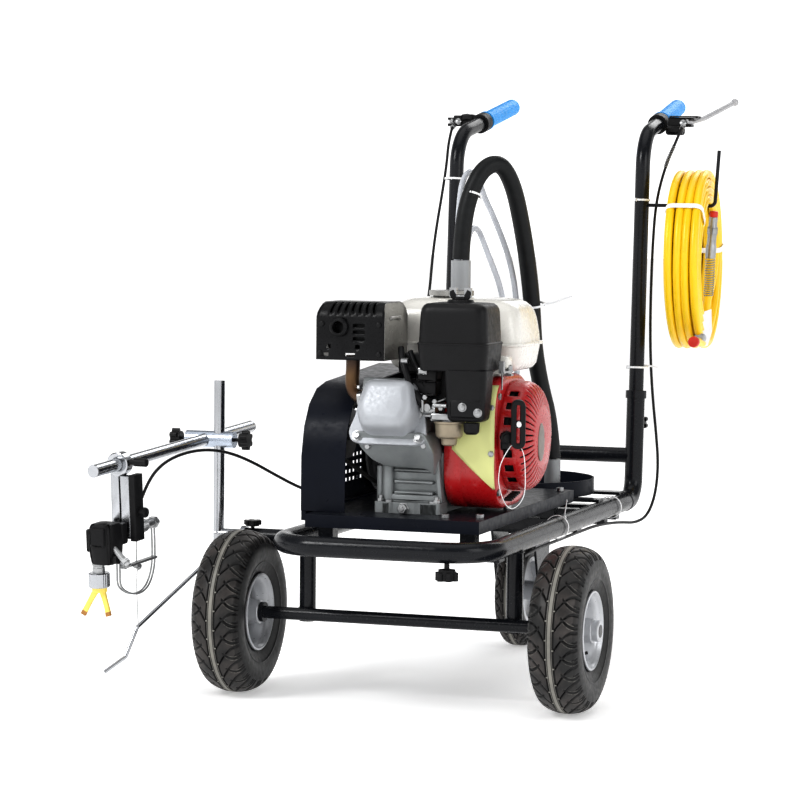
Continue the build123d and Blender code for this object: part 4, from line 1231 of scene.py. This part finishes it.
def gun_side():
    """Holder, gun, trigger guard and tip, in the gun's own axes."""
    shape = bmesh.new()
    lathe(shape, [(-8, 10.5), (-9, 13), (-9, 17.5), (-8, 19), (8, 19), (9, 17.5), (9, 13), (8, 10.5)],
          g(0, 0, 0), gdir(0, 1, 0), 44)
    open_ends(shape)
    block(shape, (-14, 1), (-7, 9), (-116, -15), 1.0, GUN)
    block(shape, (3.4, 19.5), (-7, 9), (-118, -18), 1.0, GUN)
    block(shape, (1, 3.6), (2, 9), (-112, -24), 0, GUN)
    piece("holder_bars", shape, CHROME, "gun_holder", ["gun_holder"], 30)
    shape = bmesh.new()
    block(shape, (20.4, 31), (-9, 16), (-121, -16), 0.8, GUN)
    lathe(shape, [(0, 7.4), (3, 8.2), (11, 8.2), (13, 7), (14, 0)], g(31, 4, -76), gdir(1, 0, 0), 24)
    rod(shape, g(19, 0, 4), g(30, 0, 4), 4.2, 16)
    lathe(shape, [(0, 4.4), (1, 6.6), (22, 6.6), (23, 5.6), (24, 0)], g(27, 0, 4), gdir(1, 0, 0), 24)
    piece("holder_plate", shape, PLASTIC, "gun_holder", sharp=30)
    shape = bmesh.new()
    threads = [(0, 10.6), (2, 11)]
    threads += [(2 + 1.6 * k, 11 if k % 2 else 10.1) for k in range(1, 12)]
    threads += [(22, 10.6), (60, 10.6)]
    threads += [(60 + 1.7 * k, 10.8 if k % 2 else 9.8) for k in range(1, 24)]
    threads += [(102, 9.4), (104, 8), (128, 7.6), (134, 6.8), (138, 6.2)]
    lathe(shape, threads, g(3, -40, -108), gdir(0, 1, 0), 32)
    rod(shape, g(3, 84, -108), g(3, 92, -108), 10, 6)
    lathe(shape, [(0, 10.4), (6, 10.4), (6.6, 9.2), (9, 9.2), (9.6, 10), (17.4, 10)], g(TIP_X, -44, -149),
          gdir(0, 0, -1), 28)
    piece("gun_barrel", shape, ZINC, "gun_body", ["gun_body"], 30)
    shape = bmesh.new()
    knurl = [(0, 15.4), (1.2, 16.8), (22, 16.8), (23.4, 15.6), (23.6, 8)]
    spot = along(g(TIP_X, -44, -166.4), gdir(0, 0, -1))
    loft(shape, [[spot @ Vector(((r - 0.5 * (k % 2)) * math.cos(a), (r - 0.5 * (k % 2)) * math.sin(a), h))
                  for k, a in enumerate(circle(60))] for h, r in knurl])
    piece("tip_nut", shape, CHROME, "gun_tip", ["gun_tip"], 20)
    shape = bmesh.new()
    head = [(-26, -58), (-18, -66), (10, -66), (17, -56), (17, -22), (-26, -22)]
    loft(shape, [[g(p.x * s, -44 + (p.y + 44) * s, z) for p in soft_poly(head, 9, 4)]
                 for z, s in ((-151, 0.80), (-149, 0.9), (-138, 0.97), (-120, 1.04), (-104, 1.0),
                              (-92, 0.94),
                              (-88, 0.86), (-87, 0.7))])
    block(shape, (-30, -22), (-60, -34), (-132, -96), 2.5, GUN)
    block(shape, (-18, 9), (-70, -60), (-122, -92), 3.5, GUN)
    block(shape, (-8, 18), (-30, -10), (-124, -90), 4, GUN)
    rod(shape, g(-24, -48, -142), g(22, -48, -142), 8, 20)
    piece("gun_head", shape, PLASTIC, "gun_body", sharp=35)
    shape = bmesh.new()
    rod(shape, g(10, -48, -122), g(40, -53, -148), 5.2, 20)
    lathe(shape, [(0, 7.6), (6, 7.6), (7, 6), (12, 6), (13, 4)], g(34, -52, -143), gdir(0.76, -0.12, -0.64),
          6)
    band = smooth_line([g(3, y, z) for y, z in ((-20, -148), (-20, -168), (-18, -192), (8, -208), (40, -213),
                                                (66, -203), (82, -178), (86, -145), (86, -112))], 5)
    for shift in (-2.6, 2.6):
        tube(shape, [p + LATERAL * shift for p in band], 1.5, 8)
    tube(shape, [band[0], band[1]], 3, 8)
    tube(shape, smooth_line([g(2, 40, -112), g(1, 39, -140), g(0, 38, -166)], 3), 0.9, 8)
    rod(shape, g(0, 34, -168), g(0, 46, -172), 5, 12)
    rod(shape, g(-4, 40, -164), g(4, 40, -176), 3.4, 10)
    tube(shape, smooth_line([g(0, 40, -172), g(-1, 38, -200), g(0, 36, -232), g(1, 35, -262)], 4), 0.7, 8)
    piece("trigger_guard", shape, ZINC, "gun_body", sharp=35)
    legs = bmesh.new()
    ends = bmesh.new()
    rod(legs, g(TIP_X, -44, -188), g(TIP_X, -44, -197), 12, 24)
    for s in (-1, 1):
        line = smooth_line([g(TIP_X + s * 4, -44, -192), g(TIP_X - 1.5 + s * 11, -46, -206),
                            g(TIP_X - 3 + s * 18, -48, -221), g(TIP_X - 4.6 + s * 23.4, -50, -234)], 4)
        spread = [5.4, 5.2, 5.0, 4.8, 4.6, 4.5, 4.4, 4.4, 4.4, 4.5, 4.6, 4.7, 4.8]
        rings = []
        for k, (p, q) in enumerate(zip(line, line[1:] + line[-1:])):
            d = (line[min(k + 1, len(line) - 1)] - line[max(k - 1, 0)]).normalized()
            across = d.cross(gdir(0, 1, 0)).normalized()
            r = spread[min(k, 12)]
            rings.append([p + across * x + gdir(0, 1, 0) * y for x, y in
                          ((c.x, c.y) for c in rectangle(0, 0, 1.9 * r, 1.2 * r, 1.6, 2))])
        loft(legs, rings[:-2])
        loft(ends, rings[-3:])
    piece("tip_guard", legs, GUARD_TIP, "gun_tip", sharp=40)
    piece("tip_guard_ends", ends, TIP_END, "gun_tip", sharp=40)
    shape = bmesh.new()
    for p, d in ((ARM_A, ARM * -1), (ARM_B, ARM)):
        lathe(shape, [(-1.8, 10.2), (-0.6, 10.0), (-0.1, 9.4), (0, 0)], p, d, 36)
    piece("arm_ends", shape, ZINC, "gun_arm", sharp=30)


gun_side()

# ---------------------------------------------------------------- ties, tag, small parts


TIE_WIDE = 3.6


def band_edges(wide, thick):
    """The four corners (out, along) of a flat band's section."""
    return (0, -wide / 2), (thick, -wide / 2), (thick, wide / 2), (0, wide / 2)


def tie(shape, centre, axis, r, head=0.0, tail=None):
    """Cable tie round a tube: a flat band, its head at an angle, and a cut-off tail."""
    place = along(centre, axis)
    rings = []
    for a in circle(28):
        out = Vector((math.cos(a), math.sin(a), 0))
        rings.append([place @ (out * (r + x) + Vector((0, 0, z))) for x, z in band_edges(TIE_WIDE, 1.3)])
    loft(shape, rings, closed=True)
    spot = place @ Matrix.Rotation(head, 4, "Z") @ Matrix.Translation((r + 1.6, 0, 0))
    block(shape, (-1.6, 2.4), (-2.8, 2.8), (-3, 3), 0.6, spot)
    if tail:
        start = spot.translation
        line = smooth_line([start] + [start + Vector(t) for t in tail], 5)
        flat = []
        for k, p in enumerate(line):
            d = (line[min(k + 1, len(line) - 1)] - line[max(k - 1, 0)]).normalized()
            side = d.cross(UP).normalized() if abs(d.z) < 0.95 else Vector((1, 0, 0))
            other = d.cross(side)
            flat.append([p + side * x + other * y for x,
                         y in ((-0.6, -1.7), (0.6, -1.7), (0.6, 1.7), (-0.6, 1.7))])
        loft(shape, flat)


shape = bmesh.new()
tie(shape, (-173, 788, 826), (0.0, 0.07, 1), 16.5, 3.3, [(-6, -6, 2), (-20, -16, 0)])
tie(shape, (179, 786.5, 791), (0, 0.06, 1), 13.4, 1.0, [(10, 4, -1), (16, 6, -3)])
tie(shape, (181, 770, 493), (0, 0.06, 1), 16.8, 0.2, [(14, 4, 2), (34, 8, 3), (52, 12, 0)])
piece("handle_ties", shape, NYLON, "handles", edge=0.3)
shape = bmesh.new()
tie(shape, (-2.5, 348, 800), (0.17, 0.26, 0.95), 14.8, 4.4)
tie(shape, (69, 486, 612), (0.0, -0.3, 0.95), 15.0, 0.3, [(14, 2, 2), (30, 4, 8), (48, 6, 14)])
tie(shape, (177, 262, 258), (0, 1, 0.0), 18.6, 2.2, [(4, -6, 18), (8, -14, 30)])
tie(shape, (177, 606, 258), (0, 1, 0.0), 18.6, 0.2, [(8, -2, 8), (18, -4, 12)])
piece("frame_ties", shape, NYLON, "frame", edge=0.3)


def coil_tie(shape, degrees):
    """Band round the whole bundle of turns at one place of the coil."""
    angle = math.radians(degrees)
    radial = (COIL_SIDE * math.cos(angle) + UP * math.sin(angle))
    ahead = UP * math.cos(angle) - COIL_SIDE * math.sin(angle)
    middle = COIL_C + radial * 129.5
    rings = []
    for p in rectangle(0, 0, 64, 58, 15, 6):
        out = Vector((p.x, p.y)).normalized()
        rings.append([middle + COIL_AXIS * (p.x + out.x * x) + radial * (p.y + out.y * x) + ahead * z
                      for x, z in band_edges(9, 1.6)])
    loft(shape, rings, closed=True)


shape = bmesh.new()
coil_tie(shape, 143)
coil_tie(shape, 8)
piece("coil_ties", shape, NYLON, "handles", edge=0.3)
shape = bmesh.new()
corners = [(304, 744, 596), (312, 770, 600), (314, 768, 560), (310, 754, 536), (303, 722, 534),
           (302, 726, 560)]
front = [Vector(c) for c in corners]
loft(shape, [front, [p + Vector((0.8, 0, 0)) for p in front]])
piece("blank_tag", shape, CARD, "handles", sharp=30)

shape = bmesh.new()
for p, q in (((229, 917, 931), (229, 917, 938)), ((-219, 917, 931), (-219, 917, 938))):
    rod(shape, p, q, 3.6, 18)
rod(shape, (223, 912, 925.5), (223, 898, 921), 4.6, 18)
lathe(shape, [(0, 6.6), (4, 6.6), (5, 5.4), (6, 0)], (223, 908, 930), (0.2, -1, 0.3), 8)
rod(shape, (-213, 912, 925.5), (-213, 898, 921), 4.6, 18)
lathe(shape, [(0, 6), (4, 6), (5, 4.4), (6, 0)], (-205, 910, 932), (0.2, -1, 0.3), 8)
lathe(shape, [(0, 5), (6, 5), (7, 3.4), (7.4, 0)], (-190, 918, 940), (0, -0.3, 1), 6)
piece("lever_hardware", shape, ZINC, "handles", edge=0.3)
shape = bmesh.new()
block(shape, (-200, -176), (908, 930), (934, 946), 3)
block(shape, (-216, -198), (914, 930), (938, 944), 2)
block(shape, (190, 222), (906, 934), (909, 927), 5)
block(shape, (196, 250), (910, 937), (939.6, 944), 2)
piece("lever_bodies", shape, PLASTIC, "handles", edge=0.8)
shape = bmesh.new()
spring(shape, smooth_line([(214, 881, 889), (208, 866, 868), (204.5, 854, 850)], 6), 3.2, 0.7, 14, 8)
piece("cable_spring", shape, ZINC, "handles")

# plate the pump stands on, and the tray's edge under the guard
shape = bmesh.new()
block(shape, (-156.9, -149), (-41, 411), (285, 300.1), 0.5)
block(shape, (-84.5, 53.5), (244.5, 393.5), (300.5, 331), 4)
piece("pump_base", shape, SHEET, "frame", edge=1.0)

# welds round the legs and the axle

def weld(shape, centre, axis, r, bead=2.0):
    """Bead of thirty small overlapping ripples round a tube."""
    place = along(centre, axis)
    rings = []
    for k, a in enumerate(circle(60)):
        swell = bead * (1.0 if k % 2 else 0.8)
        out = Vector((math.cos(a), math.sin(a), 0))
        rings.append([place @ (out * (r + swell * math.cos(b)) + Vector((0, 0, swell * math.sin(b))))
                      for b in (math.pi * j / 3 for j in range(6))])
    loft(shape, rings, closed=True)


shape = bmesh.new()
for x in (-167, 177):
    weld(shape, (x, 20, 244), (0, 0, 1), 13.2)
    weld(shape, (x, 9, 136), (0, -0.5, 1), 12.0, 1.8)
    weld(shape, (x, 702, 258), (0, 1, 0), 15.6, 1.6)
piece("weld_beads", shape, FRAME, "frame", sharp=80)

# ---------------------------------------------------------------- finishes of the CAD parts

FINISHES = {
    FRAME: ["frame_loop", "axle_frame", "handle_sockets", "handle_tubes", "hose_hook", "cross_members",
            "caster_mount", "caster_fork", "arm_receiver"],
    SHEET: ["engine_tray", "belt_guard", "bucket_tray"],
    SILVER_RIM: ["caster_rim"],
    CHROME: ["gun_post", "gun_arm", "pointer_rod"],
    CLAMP: ["clamp_block"],
    LEVER: ["brake_lever", "gun_lever"],
    SIDE_METAL: ["tank_cap"],
    ZINC: ["bolts", "throttle_lever", "gun_trigger"],
    PLASTIC: ["frame_knobs", "clamp_knobs", "lock_knob_left", "lock_knob_right", "lever_mounts", "dipstick"],
    ALLOY: ["crankcase", "cylinder_head", "pump_body"],
    PULLEY: ["crank_pulley", "pump_pulley"],
    BELT: ["drive_belt"],
    GREY: ["suction_pipe"],
}
SAME_POINT = 0.00001        # metres
CREASE = math.radians(28)
for finish, names in FINISHES.items():
    for name in names:
        node = frame["nodes"][name]
        node.data.materials.clear()
        node.data.materials.append(finish)
        weld_points = node.modifiers.new("weld", "WELD")
        weld_points.merge_threshold = SAME_POINT
        for face in node.data.polygons:
            face.use_smooth = True
        split = node.modifiers.new("split", "EDGE_SPLIT")
        split.split_angle = CREASE

# ---------------------------------------------------------------- floor and light

FLOOR_HALF = 30             # metres
FLOOR_DROP = 0.0005         # keeps the floor from touching the tyres
FLOOR_GLOW = 0.38
SKY_DARK = 0.20             # between the horizon and the overhead light the studio is dim
SKY_STRENGTH = 1.45
GAMMA = 0.82

floor_mesh = bpy.data.meshes.new("floor")
floor_corners = [(x * FLOOR_HALF, y * FLOOR_HALF, -FLOOR_DROP) for x, y in ((-1, -1), (1, -1), (1, 1), (-1, 1))]
floor_mesh.from_pydata(floor_corners, [], [(0, 1, 2, 3)])
floor = link("floor", floor_mesh)
floor_finish = bpy.data.materials.new("floor")
floor_finish.use_nodes = True
floor_shader = floor_finish.node_tree.nodes["Principled BSDF"]
for key, value in (("Base Color", (0.99, 0.99, 0.99, 1)), ("Roughness", 0.9), ("Emission Color", (1, 1, 1, 1)),
                   ("Emission Strength", FLOOR_GLOW)):
    floor_shader.inputs[key].default_value = value
floor_mesh.materials.append(floor_finish)

world = bpy.data.worlds.new("studio")
scene.world = world
world.use_nodes = True
backdrop = world.node_tree
background = backdrop.nodes["Background"]
sky_split = add(backdrop, "SeparateXYZ")
backdrop.links.new(add(backdrop, "TexCoord").outputs["Generated"], sky_split.inputs[0])
sky = add(backdrop, "ValToRGB")
for stop in sky.color_ramp.elements:
    stop.color = (1, 1, 1, 1)
for place, level in ((0.22, 1.0), (0.40, SKY_DARK), (0.80, SKY_DARK), (0.94, 1.0)):
    sky.color_ramp.elements.new(place).color = (level, level, level, 1)
backdrop.links.new(sky_split.outputs["Z"], sky.inputs["Fac"])
backdrop.links.new(sky.outputs["Color"], background.inputs["Color"])
background.inputs["Strength"].default_value = SKY_STRENGTH
scene.view_settings.view_transform = "Standard"
scene.view_settings.gamma = GAMMA


def lamp(name, place, target, size, power):
    """A square soft light, with its size in metres and its power in watts."""
    data = bpy.data.lights.new(name, "AREA")
    data.energy = power
    data.size = size
    made = link(name, data)
    aim = (Vector(target) - Vector(place)).to_track_quat("-Z", "Y").to_matrix().to_4x4()
    made.matrix_world = Matrix.Translation(place) @ aim


lamp("key", (-2.2, -3.4, 3.4), (0, 0, 0.4), 1.6, 110)
lamp("fill", (3.4, -1.6, 2.2), (0, 0, 0.4), 1.8, 30)
lamp("back", (0.5, 3.6, 3.0), (0, 0, 0.5), 2.0, 40)
